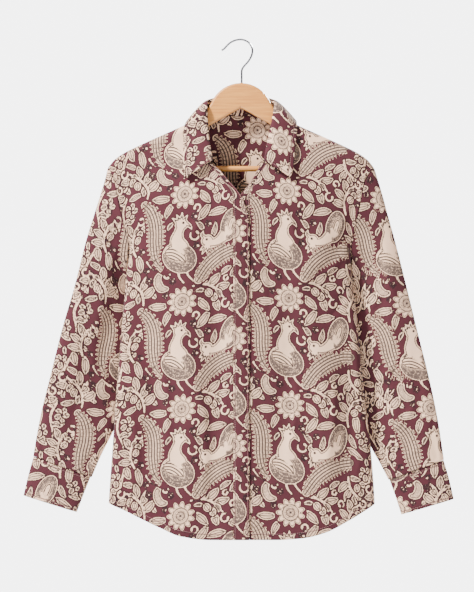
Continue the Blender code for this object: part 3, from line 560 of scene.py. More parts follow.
@dataclass
class PrintChart:
    """One repeat of the block print, charted as strokes and ovals in millimetres.

    Every field holds one value a sample. motif is the distance from the nearest cream
    shape, negative inside it. run and lane are distances along and across that shape,
    which place its fringe, stripes and midrib, and fringe, stripe, rib and hatch say how
    strongly it has them. ink is the distance from the nearest dark dot. owner is the number
    of the shape that drew a sample, and backdrop what a branch keeps clear of. The feathers
    and petals are drawn coarser than they are printed, with fewer and wider lines.
    """

    width: float = 252.0
    height: float = 180.0
    step: float = 0.75
    reach: float = 14.0
    moat: float = 2.8
    least_gap: float = 7.2
    wide_gap: float = 9.0
    most_fillers: int = 60
    filler_turn: float = 137.5
    pitch: float = 6.8
    strengths: tuple = ("fringe", "stripe", "rib", "hatch")
    columns: int = field(init=False)
    rows: int = field(init=False)
    fields: dict = field(init=False)
    owner: np.ndarray = field(init=False)
    drawn: int = 0
    behind: bool = False
    backdrop: np.ndarray = field(init=False)

    def __post_init__(self) -> None:
        """Draw the whole repeat."""
        self.columns, self.rows = round(self.width / self.step), round(self.height / self.step)
        shape = (self.rows, self.columns)
        self.fields = {name: np.zeros(shape) for name in ("run", "lane", *self.strengths)}
        self.fields["motif"] = np.full(shape, self.reach)
        self.fields["ink"] = np.full(shape, self.reach)
        self.owner = np.zeros(shape, int)
        self.diving_bird(164.0, 84.0)
        self.standing_bird(64.0, 84.0)
        self.rosette(88.0, 0.0, 18.0)
        self.behind = True
        self.sprays()
        self.vine()
        self.fillers()

    def window(self, centre: tuple, low: tuple, high: tuple) -> tuple:
        """The part of the chart round a shape, wrapped at the chart's edges.

        Args:
            centre: the motif's own origin on the chart.
            low: the shape's least (p, q), relative to the origin.
            high: its greatest.

        Returns:
            The index of the part, and the p and q of its samples, relative to the origin.
        """
        first = [math.floor((c + v - self.reach) / self.step) for c, v in zip(centre, low)]
        last = [math.ceil((c + v + self.reach) / self.step) for c, v in zip(centre, high)]
        limit = (self.columns, self.rows)
        spans = [np.arange(a, min(b, a + n - 1) + 1) for a, b, n in zip(first, last, limit)]
        p, q = np.meshgrid(*((span + 0.5) * self.step - c for span, c in zip(spans, centre)))
        return np.ix_(spans[1] % self.rows, spans[0] % self.columns), p, q

    def route(self, points: tuple, widths: tuple, steps: int = 4) -> tuple:
        """A smooth route through points, with a width at each.

        Args:
            points: the (p, q) places that it passes.
            widths: half the stroke's width at each place.
            steps: pieces between two places.

        Returns:
            The finer points and their widths.
        """
        rows = [(*point, width) for point, width in zip(points, widths)]
        rows = [rows[0], *rows, rows[-1]]
        fine = []
        for a, b, c, d in zip(rows, rows[1:], rows[2:], rows[3:]):
            for t in np.arange(steps) / steps:
                fine.append([
                    0.5 * (2 * j + (k - i) * t + (2 * i - 5 * j + 4 * k - l) * t * t
                           + (3 * j - i - 3 * k + l) * t**3)
                    for i, j, k, l in zip(a, b, c, d)
                ])
        fine = np.array([*fine, rows[-1]])
        return fine[:, :2], np.maximum(fine[:, 2], 0.2)

    def stroke(self, centre: tuple, points: tuple, widths: tuple, **strengths: float) -> None:
        """Draw a tapered stroke, such as a stem, leaf, neck or plume.

        Args:
            centre: the motif's own origin on the chart.
            points: places along the stroke, relative to the origin.
            widths: half its width at each.
            strengths: its fringe in millimetres, and its stripe, rib and hatch from 0 to 1.
                joined is 1 for a part that grows out of the last one, and inlaid is 1 for
                a part that lies on it, such as a wing.
        """
        route, width = self.route(points, widths)
        window, p, q = self.window(centre, route.min(axis=0), route.max(axis=0))
        lengths = np.maximum(np.hypot(*np.diff(route, axis=0).T), 1e-6)
        reached = np.cumsum(lengths) - lengths
        best = np.full(p.shape, 1e6)
        lane, run = np.zeros(p.shape), np.zeros(p.shape)
        for index, length in enumerate(lengths):
            (ap, aq), way = route[index], (route[index + 1] - route[index]) / length
            t = np.clip((p - ap) * way[0] + (q - aq) * way[1], 0.0, length)
            away_p, away_q = p - ap - t * way[0], q - aq - t * way[1]
            distance = np.hypot(away_p, away_q) - mix(width[index], width[index + 1], t / length)
            nearer = distance < best
            best = np.where(nearer, distance, best)
            lane = np.where(nearer, way[0] * away_q - way[1] * away_p, lane)
            run = np.where(nearer, reached[index] + t, run)
        self.add(window, best, run, lane, strengths)

    def oval(self, centre: tuple, at: tuple, radii: tuple, angle: float = 0.0,
             **strengths: float) -> None:
        """Draw an oval, such as a body, bud or petal, whose stripes run round it.

        Args:
            centre: the motif's own origin.
            at: the oval's middle, relative to the origin.
            radii: its two half lengths.
            angle: its turn in degrees, clockwise.
            strengths: as for stroke, and the number of petals that its fringe has.
        """
        far = max(radii)
        window, p, q = self.window(centre, (at[0] - far, at[1] - far), (at[0] + far, at[1] + far))
        c, s = math.cos(math.radians(angle)), math.sin(math.radians(angle))
        a = ((p - at[0]) * c + (q - at[1]) * s) / radii[0]
        b = (-(p - at[0]) * s + (q - at[1]) * c) / radii[1]
        size = np.maximum(np.hypot(a, b), 1e-3)
        distance = (size - 1.0) * size / np.maximum(np.hypot(a / radii[0], b / radii[1]), 1e-3)
        distance = np.maximum(distance, -min(radii))
        petals = strengths.get("petals", round(3.0 * sum(radii) / self.pitch))
        run = np.abs(np.arctan2(b, a)) * self.pitch * petals / (2.0 * math.pi)
        lane = b * radii[1] if strengths.get("rib") else distance
        self.add(window, distance, run, lane, strengths)

    def add(self, window: tuple, distance: np.ndarray, run: np.ndarray, lane: np.ndarray,
            strengths: dict) -> None:
        """Lay a shape over the chart or behind what is drawn, with a narrow moat between.

        Args:
            window: the part of the chart that is drawn on.
            distance: distance from the shape's edge without its fringe, negative inside.
            run: distance along it.
            lane: distance across it.
            strengths: as for stroke.
        """
        self.drawn += 1
        edge = distance - strengths.get("fringe", 0.0)
        motif, fringe = self.fields["motif"][window], self.fields["fringe"][window]
        kept = motif
        if self.behind:
            near = self.backdrop[window] if strengths.get("joined") else motif - fringe
            hidden = np.maximum(edge, self.moat - near)
            distance, edge = distance + hidden - edge, hidden
            mine = edge < motif - fringe
        elif strengths.get("joined"):
            mine = edge < motif - fringe
        elif strengths.get("inlaid"):
            mine = edge < 0.0
        else:
            mine = (edge < 0.5 * self.moat) | (edge < motif - fringe)
            kept = np.maximum(motif, np.minimum(self.moat - edge, self.reach) + fringe)
        fields = {"run": run, "lane": lane, "motif": distance}
        fields.update({name: strengths.get(name, 0.0) for name in self.strengths})
        self.fields["motif"][window] = kept
        for name, values in fields.items():
            self.fields[name][window] = np.where(mine, values, self.fields[name][window])
        cleared = np.maximum(self.fields["ink"][window], -edge)
        self.fields["ink"][window] = np.where(edge < 0.0, cleared, self.fields["ink"][window])
        self.owner[window] = np.where(mine, self.drawn, self.owner[window])

    def begin(self) -> None:
        """Start a branch, whose joined parts keep clear only of what is drawn so far."""
        self.backdrop = self.fields["motif"] - self.fields["fringe"]

    def dot(self, centre: tuple, at: tuple, radius: float) -> None:
        """A dark dot, such as an eye.

        Args:
            centre: the motif's place in the repeat.
            at: the dot's place, from there.
            radius: its radius.
        """
        window, p, q = self.window(centre, at, at)
        distance = np.hypot(p - at[0], q - at[1]) - radius
        self.fields["ink"][window] = np.minimum(self.fields["ink"][window], distance)

    def standing_bird(self, p: float, q: float) -> None:
        """A crested bird that stands facing right, its plume raised behind it.

        Args:
            p: the motif's place across the repeat.
            q: its place along it.
        """
        here = (p, q)
        self.stroke(here, ((-12, 43), (-19, 57), (-13, 71), (-3, 73)), (3.5, 6.5, 7, 4), hatch=0.6)
        self.stroke(here, ((-8, 39), (-24, 34), (-38, 26)), (4, 6.5, 2), stripe=1.0)
        self.stroke(here, ((-6, 36), (-19, 20), (-23, -4), (-23, -24), (-26, -44), (-34, -60),
                           (-45, -70)),
                    (5, 9.5, 11, 11, 9.5, 6, 1.5), fringe=6.2, stripe=1.0, hatch=0.5)
        self.oval(here, (18, 22), (31, 25), 28, hatch=1.0, stripe=0.5)
        self.stroke(here, ((-4, 12), (8, 13), (21, 21), (31, 33)), (5, 13, 9, 1),
                    stripe=1.0, inlaid=1.0)
        self.stroke(here, ((17, 43), (18, 54), (26, 65)), (2.4, 1.6, 1.2), joined=1.0)
        self.stroke(here, ((30, 42), (33, 52), (43, 63)), (2.4, 1.5, 1.2), joined=1.0)
        self.stroke(here, ((20, 6), (14, -6), (16, -20), (21, -32)), (15, 12.5, 8.5, 8),
                    joined=1.0)
        for tip in ((5, -45), (13, -50), (22, -53), (31, -48)):
            self.stroke(here, ((20, -34), tip), (6.5, 1.0), joined=1.0)
        self.stroke(here, ((29, -34), (35, -30), (39, -24)), (4.5, 3.2, 1.0), joined=1.0)
        self.oval(here, (21, -34), (11.5, 10.5), joined=1.0)
        self.dot(here, (24, -36), 2.3)
        for spot in ((-33, 58), (7, 61)):
            self.blossom(p + spot[0], q + spot[1], 5.2, 5)

    def diving_bird(self, p: float, q: float) -> None:
        """A bird that stoops to the left over a long striped plume.

        Args:
            p: the motif's place across the repeat.
            q: its place along it.
        """
        here = (p, q)
        self.stroke(here, ((10, -6), (16, 6), (21, 16), (23, 26)), (9, 10, 8, 2),
                    fringe=4.0, stripe=1.0, hatch=0.5)
        self.stroke(here, ((30, 12), (10, 15), (-12, 23), (-32, 38), (-49, 61)),
                    (6, 11, 12, 10.5, 2.5), fringe=6.2, stripe=1.0, hatch=0.5)
        self.oval(here, (7, -26), (28, 17), -72, hatch=1.0, stripe=0.5)
        self.oval(here, (8, -25), (18, 9), -72, stripe=1.0, inlaid=1.0)
        self.stroke(here, ((2, -14), (-10, -4), (-22, 1), (-34, -1)), (13, 9.5, 7.5, 8),
                    joined=1.0)
        for tip in ((-46, 12), (-43, 19), (-34, 21), (-25, 19)):
            self.stroke(here, ((-33, 2), tip), (6.0, 1.0), joined=1.0)
        self.stroke(here, ((-38, -8), (-43, -13), (-41, -19)), (4.2, 3.2, 1.0), joined=1.0)
        self.oval(here, (-34, -3), (11, 9.5), -20, joined=1.0)
        self.dot(here, (-35, -5), 2.3)

    def rosette(self, p: float, q: float, radius: float) -> None:
        """A round flower with a fringe of petals and rings in its heart.

        Args:
            p: its middle across.
            q: its middle along.
            radius: its size without the petals.
        """
        self.oval((p, q), (0, 0), (radius, radius), fringe=6.8, petals=11)
        self.oval((p, q), (0, 0), (0.86 * radius, 0.86 * radius), hatch=0.4, inlaid=1.0)
        self.oval((p, q), (0, 0), (0.5 * radius, 0.5 * radius), hatch=0.7, inlaid=1.0)
        self.dot((p, q), (0, 0), 2.2)

    def leaf(self, at: tuple, length: float, width: float, angle: float) -> None:
        """A pointed leaf with its midrib.

        Args:
            at: where its stalk begins.
            length: from stalk to point.
            width: half its breadth.
            angle: its direction in degrees, 0 to the right and 90 up.
        """
        c, s = math.cos(math.radians(angle)), -math.sin(math.radians(angle))
        points = [(length * k * c - bend * s, length * k * s + bend * c)
                  for k, bend in ((0, 0), (0.34, 0.9), (0.68, 0.6), (1.0, -1.4))]
        self.stroke(at, tuple(points), (0.9, width, 0.82 * width, 0.6), rib=1.0, hatch=0.3)

    def blossom(self, p: float, q: float, radius: float, petals: int = 5,
                turned: float = 0.25) -> None:
        """A small open flower with round petals.

        Args:
            p: its middle across.
            q: its middle along.
            radius: its size.
            petals: how many it has.
            turned: its turn, as a share of the way from one petal to the next.
        """
        for index in range(petals):
            turn = 2.0 * math.pi * (index + turned) / petals
            spot = (0.58 * radius * math.cos(turn), 0.58 * radius * math.sin(turn))
            self.oval((p, q), spot, (0.46 * radius, 0.36 * radius), math.degrees(turn),
                      rib=1.0 if radius > 9 else 0.0)
        self.oval((p, q), (0, 0), (0.24 * radius, 0.24 * radius))

    def tendril(self, p: float, q: float, radius: float, start: float, sweep: float) -> None:
        """A curled tendril that thickens to its end.

        Args:
            p: the curl's middle across.
            q: the curl's middle along.
            radius: its outer radius.
            start: where it begins, in degrees.
            sweep: how far it turns, in degrees.
        """
        points = []
        for share in np.linspace(0.0, 1.0, 7):
            turn = math.radians(start + sweep * share)
            reach = radius * (1.0 - 0.35 * share)
            points.append((reach * math.cos(turn), -reach * math.sin(turn)))
        self.stroke((p, q), tuple(points), (0.9,) + (1.4,) * 5 + (2.1,), joined=1.0)

    def spray(self, p: float, q: float, turn: float, size: float = 1.0,
              flip: float = 1.0) -> None:
        """A branch with large leaves, round buds and a curl.

        Args:
            p: where it starts across.
            q: where it starts along.
            turn: its direction in degrees, 0 to the right and 90 up.
            size: its scale.
            flip: -1 to mirror it.
        """
        self.begin()
        c, s = math.cos(math.radians(turn)), -math.sin(math.radians(turn))

        def spot(along: float, aside: float) -> tuple:
            """A place on the branch, turned and scaled."""
            aside *= -flip
            return (size * (along * c - aside * s), size * (along * s + aside * c))

        def at(along: float, aside: float) -> tuple:
            """The same place on the chart."""
            over, down = spot(along, aside)
            return (p + over, q + down)

        for along, aside in ((24, -9), (34, -14), (41, -7)):
            self.oval((p, q), spot(along, aside), (7.6 * size, 6.2 * size), 40 - turn, rib=1.0)
        for along, aside, length, width, angle in (
            (7, 3, 27, 7.0, 78), (20, 5, 26, 6.6, 52), (34, 2, 26, 6.4, 22),
            (38, -16, 22, 6.2, -62),
        ):
            self.leaf(at(along, aside), length * size, width * size, turn + flip * angle)
        self.stroke((p, q), (spot(-6, -3), spot(6, 2), spot(20, 4), spot(38, -2), spot(52, -12)),
                    (1.4, 1.9, 1.9, 1.7, 1.3), joined=1.0)
        self.tendril(*at(58, -21), 8.0 * size, turn + 90 * flip, 290 * flip)

    def vine(self) -> None:
        """The flowering stem that winds up between the pairs of birds."""
        self.begin()
        for p, q, radius, petals in ((244, 20, 12.5, 5), (216, 52, 11.5, 4), (250, 82, 12.0, 5),
                                     (222, 112, 12.0, 5), (246, 146, 12.5, 4),
                                     (214, 170, 10.5, 5)):
            self.blossom(p, q, radius, petals, 0.1 * q)
        for at, length, width, angle in (
            ((230, 40), 25, 6.2, 20), ((234, 72), 25, 6.4, 165), ((240, 92), 24, 6.2, -70),
            ((232, 130), 25, 6.4, 190), ((230, 150), 24, 6.2, -65), ((230, 8), 24, 6.2, 160),
        ):
            self.leaf(at, length, width, angle)
        stem = ((0, -4), (-6, 24), (5, 52), (9, 84), (1, 112), (-6, 146), (0, 176))
        self.stroke((232, 2), stem, (1.9,) * 7, joined=1.0)

    def sprays(self) -> None:
        """The branches between the birds, and the curls beside their heads."""
        self.spray(112, 154, -14, 1.0)
        self.spray(22, 176, 118, 0.95, -1.0)
        self.spray(190, 30, 78, 0.9)
        self.spray(190, 122, -64, 0.9, -1.0)
        self.spray(2, 92, 96, 0.86)
        self.leaf((22, 146), 34, 7.6, -108)
        self.leaf((26, 148), 30, 6.8, -55)
        self.leaf((20, 144), 27, 5.8, 178)
        self.begin()
        self.tendril(109, 70, 9.0, 150, 270)
        for p, q in ((107, 38), (112, 124), (60, 168), (132, 52)):
            self.blossom(p, q, 5.2, 5)

    def fillers(self) -> None:
        """Leaves, curls and dotted flowers in what is still open, the largest gap first."""
        for index in range(self.most_fillers):
            room = self.fields["motif"] - self.fields["fringe"]
            row, column = np.unravel_index(np.argmax(room), room.shape)
            gap = room[row, column]
            p, q = (column + 0.5) * self.step, (row + 0.5) * self.step
            turn = self.filler_turn * index
            if gap < self.least_gap:
                break
            c, s = math.cos(math.radians(turn)), -math.sin(math.radians(turn))
            if gap > self.wide_gap:
                reach = 1.3 * gap
                self.leaf((p - reach * c, q - reach * s), 2.0 * reach, 0.46 * gap, turn)
            elif index % 3 == 0:
                self.begin()
                self.tendril(p, q, gap - 2.2, turn, 290)
            elif index % 3 == 1:
                self.blossom(p, q, 0.6 * gap, 5)
            else:
                self.leaf((p - gap * c, q - gap * s), 2.0 * gap, 0.42 * gap, turn)

    def read(self, name: str, p: np.ndarray, q: np.ndarray) -> np.ndarray:
        """Read a field of the chart, between its samples where they show one shape.

        Args:
            name: the field.
            p: places across the cloth.
            q: places along it.

        Returns:
            The value at each place.
        """
        values = self.fields[name]
        column = (p / self.step - 0.5) % self.columns
        row = (q / self.step - 0.5) % self.rows
        c0, r0 = np.floor(column).astype(int), np.floor(row).astype(int)
        across, along = column - c0, row - r0
        c0, r0 = c0 % self.columns, r0 % self.rows
        c1, r1 = (c0 + 1) % self.columns, (r0 + 1) % self.rows
        smooth = mix(mix(values[r0, c0], values[r0, c1], across),
                     mix(values[r1, c0], values[r1, c1], across), along)
        near = (np.where(along < 0.5, r0, r1), np.where(across < 0.5, c0, c1))
        owner = self.owner[near]
        same = np.ones(p.shape, bool)
        for corner in ((r0, c0), (r0, c1), (r1, c0), (r1, c1)):
            same &= self.owner[corner] == owner
        return np.where(same, smooth, values[near])


CHART = PrintChart()


def linear(code: str) -> tuple:
    """Turn an sRGB hex colour into linear values.

    Args:
        code: six hex digits.

    Returns:
        Red, green, blue and 1.
    """
    parts = [int(code[i:i + 2], 16) / 255.0 for i in (0, 2, 4)]
    parts = [v / 12.92 if v <= 0.04045 else ((v + 0.055) / 1.055) ** 2.4 for v in parts]
    return (*parts, 1.0)


def new_material(name: str) -> tuple:
    """Start a material.

    Args:
        name: its name.

    Returns:
        The material, its node tree and its main shader.
    """
    material = bpy.data.materials.new(name)
    material.use_nodes = True
    tree = material.node_tree
    return material, tree, tree.nodes["Principled BSDF"]


# Kinds of node that a pattern is made of, and which output counts where it isn't the first. In
# a range, 1 and 2 are where it starts and ends, 3 and 4 what it gives there. In a mix of
# colours, 6 and 7 are the colours.
MATH, RANGE, MIX = "ShaderNodeMath", "ShaderNodeMapRange", "ShaderNodeMix"
NOISE, CHECKER, BUMP = "ShaderNodeTexNoise", "ShaderNodeTexChecker", "ShaderNodeBump"
OUTPUTS = {MIX: 2, CHECKER: 1}
RISE = {"interpolation_type": "SMOOTHSTEP"}
FALL = {**RISE, 3: 1.0, 4: 0.0}


def add_node(tree: bpy.types.NodeTree, kind: str, settings: dict | None = None,
             links: dict | None = None) -> bpy.types.Node:
    """Add a node with its settings and links.

    Args:
        tree: the tree that it joins.
        kind: the node's type.
        settings: attributes by name, or socket values by index or name.
        links: the output sockets that feed its inputs, by input index or name.

    Returns:
        The new node.
    """
    node = tree.nodes.new(kind)
    for name, value in (settings or {}).items():
        if isinstance(name, str) and hasattr(node, name):
            setattr(node, name, value)
        else:
            node.inputs[name].default_value = value
    for name, output in (links or {}).items():
        tree.links.new(output, node.inputs[name])
    return node


@dataclass(frozen=True)
class PrintedCotton:
    """Plain-weave cotton, block printed: matt, soft, with slightly uneven colour.

    The sizes are in millimetres: there are 480 wavers of the edge, 330 feather scales and 90
    puckers to a metre.
    """

    ground: str = "471B23"
    ground_deep: str = "281114"
    cream: str = "F0C5A3"
    line: str = "3F302D"
    feather: str = "6A564C"
    roughness: float = 0.86
    sheen: float = 0.05
    gloss: float = 0.25
    thread: float = 0.45
    patch: float = 34.0
    stripe_pitch: float = 5.0
    rim_in: float = 2.1
    rim_half: float = 0.45
    waver: float = 0.4
    waver_size: float = 1000.0 / 480.0
    scale_size: float = 1000.0 / 330.0
    pucker_size: float = 1000.0 / 90.0
    # Width of the stitched groove and of the painted shade along it, and how dark that painted
    # shade is at the line.
    line_core: float = 0.3
    line_reach: float = 1.5
    line_shade: float = 0.42
    weave_depth: float = 0.0002
    pucker_depth: float = 0.0012
    groove_depth: float = 0.0006

    def material(self) -> bpy.types.Material:
        """Build the printed cloth.

        Returns:
            The material, which reads the cloth's own attributes and map.
        """
        # A dark wine ground with cream shapes that have dark inner lines, and no shine.
        made, tree, shader = new_material("printed plain weave cotton")
        sockets = {
            name: add_node(tree, "ShaderNodeAttribute", {"attribute_name": name}).outputs["Fac"]
            for name in ("motif", "run", "lane", "fringe", "stripe", "rib", "hatch", "ink", "edge")
        }
        sockets["flat"] = add_node(tree, "ShaderNodeUVMap", {"uv_map": "flat"}).outputs["UV"]
        for name, kind, settings, feeds in (*self.shapes(), *self.colours(), *self.relief()):
            links = {at: sockets[source] for at, source in feeds.items()}
            sockets[name] = add_node(tree, kind, settings, links).outputs[OUTPUTS.get(kind, 0)]
        tree.links.new(sockets["toned"], shader.inputs["Base Color"])
        tree.links.new(sockets["grooved"], shader.inputs["Normal"])
        shader.inputs["Roughness"].default_value = self.roughness
        shader.inputs["Sheen Weight"].default_value = self.sheen
        shader.inputs["Specular IOR Level"].default_value = self.gloss
        return made

    def shapes(self) -> tuple:
        """The print's cream shapes and its line work, from the cloth's attributes.

        Returns:
            For each node its name, its kind, its settings and the names that feed it.
        """
        rim_in = -self.rim_in
        return (
            # The block's edge wavers by up to 0.4 mm, as a hand-cut block prints.
            ("wobble", NOISE, {"Scale": 1000.0 / self.waver_size, "Detail": 1.0},
             {"Vector": "flat"}),
            ("waver", RANGE, {1: 0.3, 2: 0.7, 3: -self.waver, 4: self.waver}, {0: "wobble"}),
            # Scallops and petals stand out from the shape's edge, one for each pitch of its length.
            ("turn", MATH, {"operation": "MULTIPLY", 1: math.pi / CHART.pitch}, {0: "run"}),
            ("swing", MATH, {"operation": "SINE"}, {0: "turn"}),
            ("wave", MATH, {"operation": "ABSOLUTE"}, {0: "swing"}),
            ("rounded", MATH, {"operation": "POWER", 1: 1.5}, {0: "wave"}),
            ("scallop", MATH, {"operation": "MULTIPLY"}, {0: "rounded", 1: "fringe"}),
            ("scalloped", MATH, {"operation": "SUBTRACT"}, {0: "motif", 1: "scallop"}),
            ("distance", MATH, {"operation": "ADD"}, {0: "scalloped", 1: "waver"}),
            ("cream", RANGE, {**FALL, 1: -0.3, 2: 0.3}, {0: "distance"}),
            ("outline", RANGE, {**FALL, 1: 0.6, 2: 1.9}, {0: "distance"}),
            # A dark line follows the edge inside, and the stripes and midribs lie within it.
            ("inner", RANGE, {**FALL, 1: rim_in - 0.8, 2: rim_in - 0.2}, {0: "distance"}),
            ("inside", MATH, {"operation": "ADD", 1: self.rim_in}, {0: "distance"}),
            ("off rim", MATH, {"operation": "ABSOLUTE"}, {0: "inside"}),
            ("rim", RANGE, {**FALL, 1: self.rim_half, 2: 1.0}, {0: "off rim"}),
            ("far lane", MATH, {"operation": "ADD", 1: 195.0}, {0: "lane"}),
            ("off line", MATH, {"operation": "PINGPONG", 1: 0.5 * self.stripe_pitch},
             {0: "far lane"}),
            ("line", RANGE, {**FALL, 1: 0.7, 2: 1.5}, {0: "off line"}),
            ("striped", MATH, {"operation": "MULTIPLY"}, {0: "line", 1: "stripe"}),
            ("stripes", MATH, {"operation": "MULTIPLY"}, {0: "striped", 1: "inner"}),
            ("off rib", MATH, {"operation": "ABSOLUTE"}, {0: "lane"}),
            ("rib line", RANGE, {**FALL, 1: 0.4, 2: 1.0}, {0: "off rib"}),
            ("ribs", MATH, {"operation": "MULTIPLY"}, {0: "rib line", 1: "rib"}),
            ("dots", RANGE, {**FALL, 1: -0.3, 2: 0.4}, {0: "ink"}),
            # Short lines part the petals and the teeth of the fringes at their roots.
            ("cleft", RANGE, {**FALL, 1: 0.12, 2: 0.42}, {0: "wave"}),
            ("near edge", RANGE, {**RISE, 1: -8.5, 2: -5.5}, {0: "motif"}),
            ("fringed", RANGE, {**RISE, 1: 2.0, 2: 4.0}, {0: "fringe"}),
            ("root", MATH, {"operation": "MULTIPLY"}, {0: "cleft", 1: "near edge"}),
            ("roots", MATH, {"operation": "MULTIPLY"}, {0: "root", 1: "fringed"}),
            ("thin roots", MATH, {"operation": "MULTIPLY", 1: 0.8}, {0: "roots"}),
            ("rim and stripes", MATH, {"operation": "MAXIMUM"}, {0: "rim", 1: "stripes"}),
            ("ribs and dots", MATH, {"operation": "MAXIMUM"}, {0: "ribs", 1: "dots"}),
            ("lines", MATH, {"operation": "MAXIMUM"}, {0: "rim and stripes", 1: "ribs and dots"}),
            ("dark", MATH, {"operation": "MAXIMUM"}, {0: "lines", 1: "thin roots"}),
        )

    def colours(self) -> tuple:
        """The print's colours, with the dye's unevenness and painted shade along the stitching.

        Returns:
            For each node its name, its kind, its settings and the names that feed it.
        """
        ground, deep = linear(self.ground), linear(self.ground_deep)
        return (
            # Fine feather scales fill the birds' bodies.
            ("scales", "ShaderNodeTexVoronoi",
             {"Scale": 1000.0 / self.scale_size, "feature": "F1"}, {"Vector": "flat"}),
            ("scale", RANGE, {1: 0.15, 2: 0.5, 3: 0.25, 4: 1.0}, {0: "scales"}),
            ("hatched", MATH, {"operation": "MULTIPLY"}, {0: "scale", 1: "hatch"}),
            ("feather", MATH, {"operation": "MULTIPLY"}, {0: "hatched", 1: "inner"}),
            ("ground", MIX, {"data_type": "RGBA", 6: ground, 7: deep}, {0: "outline"}),
            ("plain figure", MIX,
             {"data_type": "RGBA", 6: linear(self.cream), 7: linear(self.feather)},
             {0: "feather"}),
            ("figure", MIX, {"data_type": "RGBA", 7: linear(self.line)},
             {0: "dark", 6: "plain figure"}),
            ("colour", MIX, {"data_type": "RGBA"}, {0: "cream", 6: "ground", 7: "figure"}),
            # The dye has taken a little unevenly, in patches some centimetres wide.
            ("patches", NOISE, {"Scale": 1000.0 / self.patch, "Detail": 3.0}, {"Vector": "flat"}),
            ("tone", RANGE, {1: 0.3, 2: 0.7, 3: 0.93, 4: 1.05}, {0: "patches"}),
            # Painted shade: the cloth's colour is darkened along each stitched line, where its
            # groove would be shaded.
            ("off seam", MATH, {"operation": "ABSOLUTE"}, {0: "edge"}),
            ("painted_seam_shade", RANGE, {**RISE, 1: self.line_core, 2: self.line_reach, 3: self.line_shade},
             {0: "off seam"}),
            ("shade", MATH, {"operation": "MULTIPLY"}, {0: "tone", 1: "painted_seam_shade"}),
            ("toned", "ShaderNodeVectorMath", {"operation": "SCALE"},
             {0: "colour", "Scale": "shade"}),
        )

    def relief(self) -> tuple:
        """Weave, soft puckers and the groove of the stitching.

        Returns:
            For each node its name, its kind, its settings and the names that feed it.
        """
        return (
            # The threads lie 0.45 mm apart, drawn twice as coarse so that they show close by.
            ("weave", CHECKER, {"Scale": 500.0 / self.thread}, {"Vector": "flat"}),
            ("woven", BUMP, {"Strength": 0.12, "Distance": self.weave_depth},
             {"Height": "weave"}),
            ("puckers", NOISE, {"Scale": 1000.0 / self.pucker_size, "Detail": 4.0},
             {"Vector": "flat"}),
            ("puckered", BUMP, {"Strength": 0.35, "Distance": self.pucker_depth},
             {"Height": "puckers", "Normal": "woven"}),
            ("groove", RANGE, {**RISE, 1: self.line_core, 2: self.line_reach}, {0: "off seam"}),
            ("grooved", BUMP, {"Strength": 0.8, "Distance": self.groove_depth},
             {"Height": "groove", "Normal": "puckered"}),
        )


@dataclass(frozen=True)
class VarnishedBeech:
    """Beech, sanded and varnished: pale orange wood with fine slanting grain."""

    early: str = "DC9848"
    late: str = "C07A38"
    roughness: float = 0.38
    grain: float = 3.2
    slant: float = -0.5
    grain_run: float = 14.0
    grain_depth: float = 1000.0 / 60.0

    def material(self) -> bpy.types.Material:
        """Build the wood from its object coordinates.

        Returns:
            The material.
        """
        # Pale orange wood with thin darker streaks on a slant, under a soft shine.
        made, tree, shader = new_material("varnished beech")
        place = add_node(tree, "ShaderNodeTexCoord")
        turned = add_node(tree, "ShaderNodeMapping",
                          {"Rotation": (0.0, self.slant, 0.0),
                           "Scale": (1000.0 / (self.grain * self.grain_run),
                                     1000.0 / self.grain_depth, 1000.0 / self.grain)},
                          {"Vector": place.outputs["Object"]})
        rings = add_node(tree, "ShaderNodeTexNoise", {"Scale": 1.0, "Detail": 5.0},
                         {"Vector": turned.outputs[0]})
        colour = add_node(tree, "ShaderNodeValToRGB", {}, {"Fac": rings.outputs["Fac"]})
        ramp = colour.color_ramp
        ramp.elements[0].position, ramp.elements[1].position = 0.32, 0.72
        ramp.elements[0].color, ramp.elements[1].color = linear(self.late), linear(self.early)
        tree.links.new(colour.outputs["Color"], shader.inputs["Base Color"])
        shader.inputs["Roughness"].default_value = self.roughness
        shader.inputs["Coat Weight"].default_value = 0.3
        shader.inputs["Coat Roughness"].default_value = 0.25
        return made


@dataclass(frozen=True)
class ChromedWire:
    """Steel wire, drawn and chromed: mid-grey, with small sharp reflections."""

    colour: str = "7F7F83"
    roughness: float = 0.16

    def material(self) -> bpy.types.Material:
        """Build the metal.

        Returns:
            The material.
        """
        # A grey wire with one thin bright line down its lit side.
        made, _, shader = new_material("chromed steel wire")
        shader.inputs["Base Color"].default_value = linear(self.colour)
        shader.inputs["Metallic"].default_value = 1.0
        shader.inputs["Roughness"].default_value = self.roughness
        return made


@dataclass(frozen=True)
class ButtonResin:
    """Polyester resin, cast and polished: a glossy cream button."""

    colour: str = "D8CABC"
    roughness: float = 0.28

    def material(self) -> bpy.types.Material:
        """Build the resin.

        Returns:
            The material.
        """
        # A warm pale disc with a small clear highlight.
        made, _, shader = new_material("polished button resin")
        shader.inputs["Base Color"].default_value = linear(self.colour)
        shader.inputs["Roughness"].default_value = self.roughness
        return made


@dataclass(frozen=True)
class SewingThread:
    """Spun polyester thread: matt, between the cloth's dark ground and its cream print."""

    colour: str = "9A6A69"
    roughness: float = 0.7

    def material(self) -> bpy.types.Material:
        """Build the thread.

        Returns:
            The material.
        """
        # Rows of dull dusty pink dashes that stand out a little from the cloth.
        made, _, shader = new_material("spun sewing thread")
        shader.inputs["Base Color"].default_value = linear(self.colour)
        shader.inputs["Roughness"].default_value = self.roughness
        return made


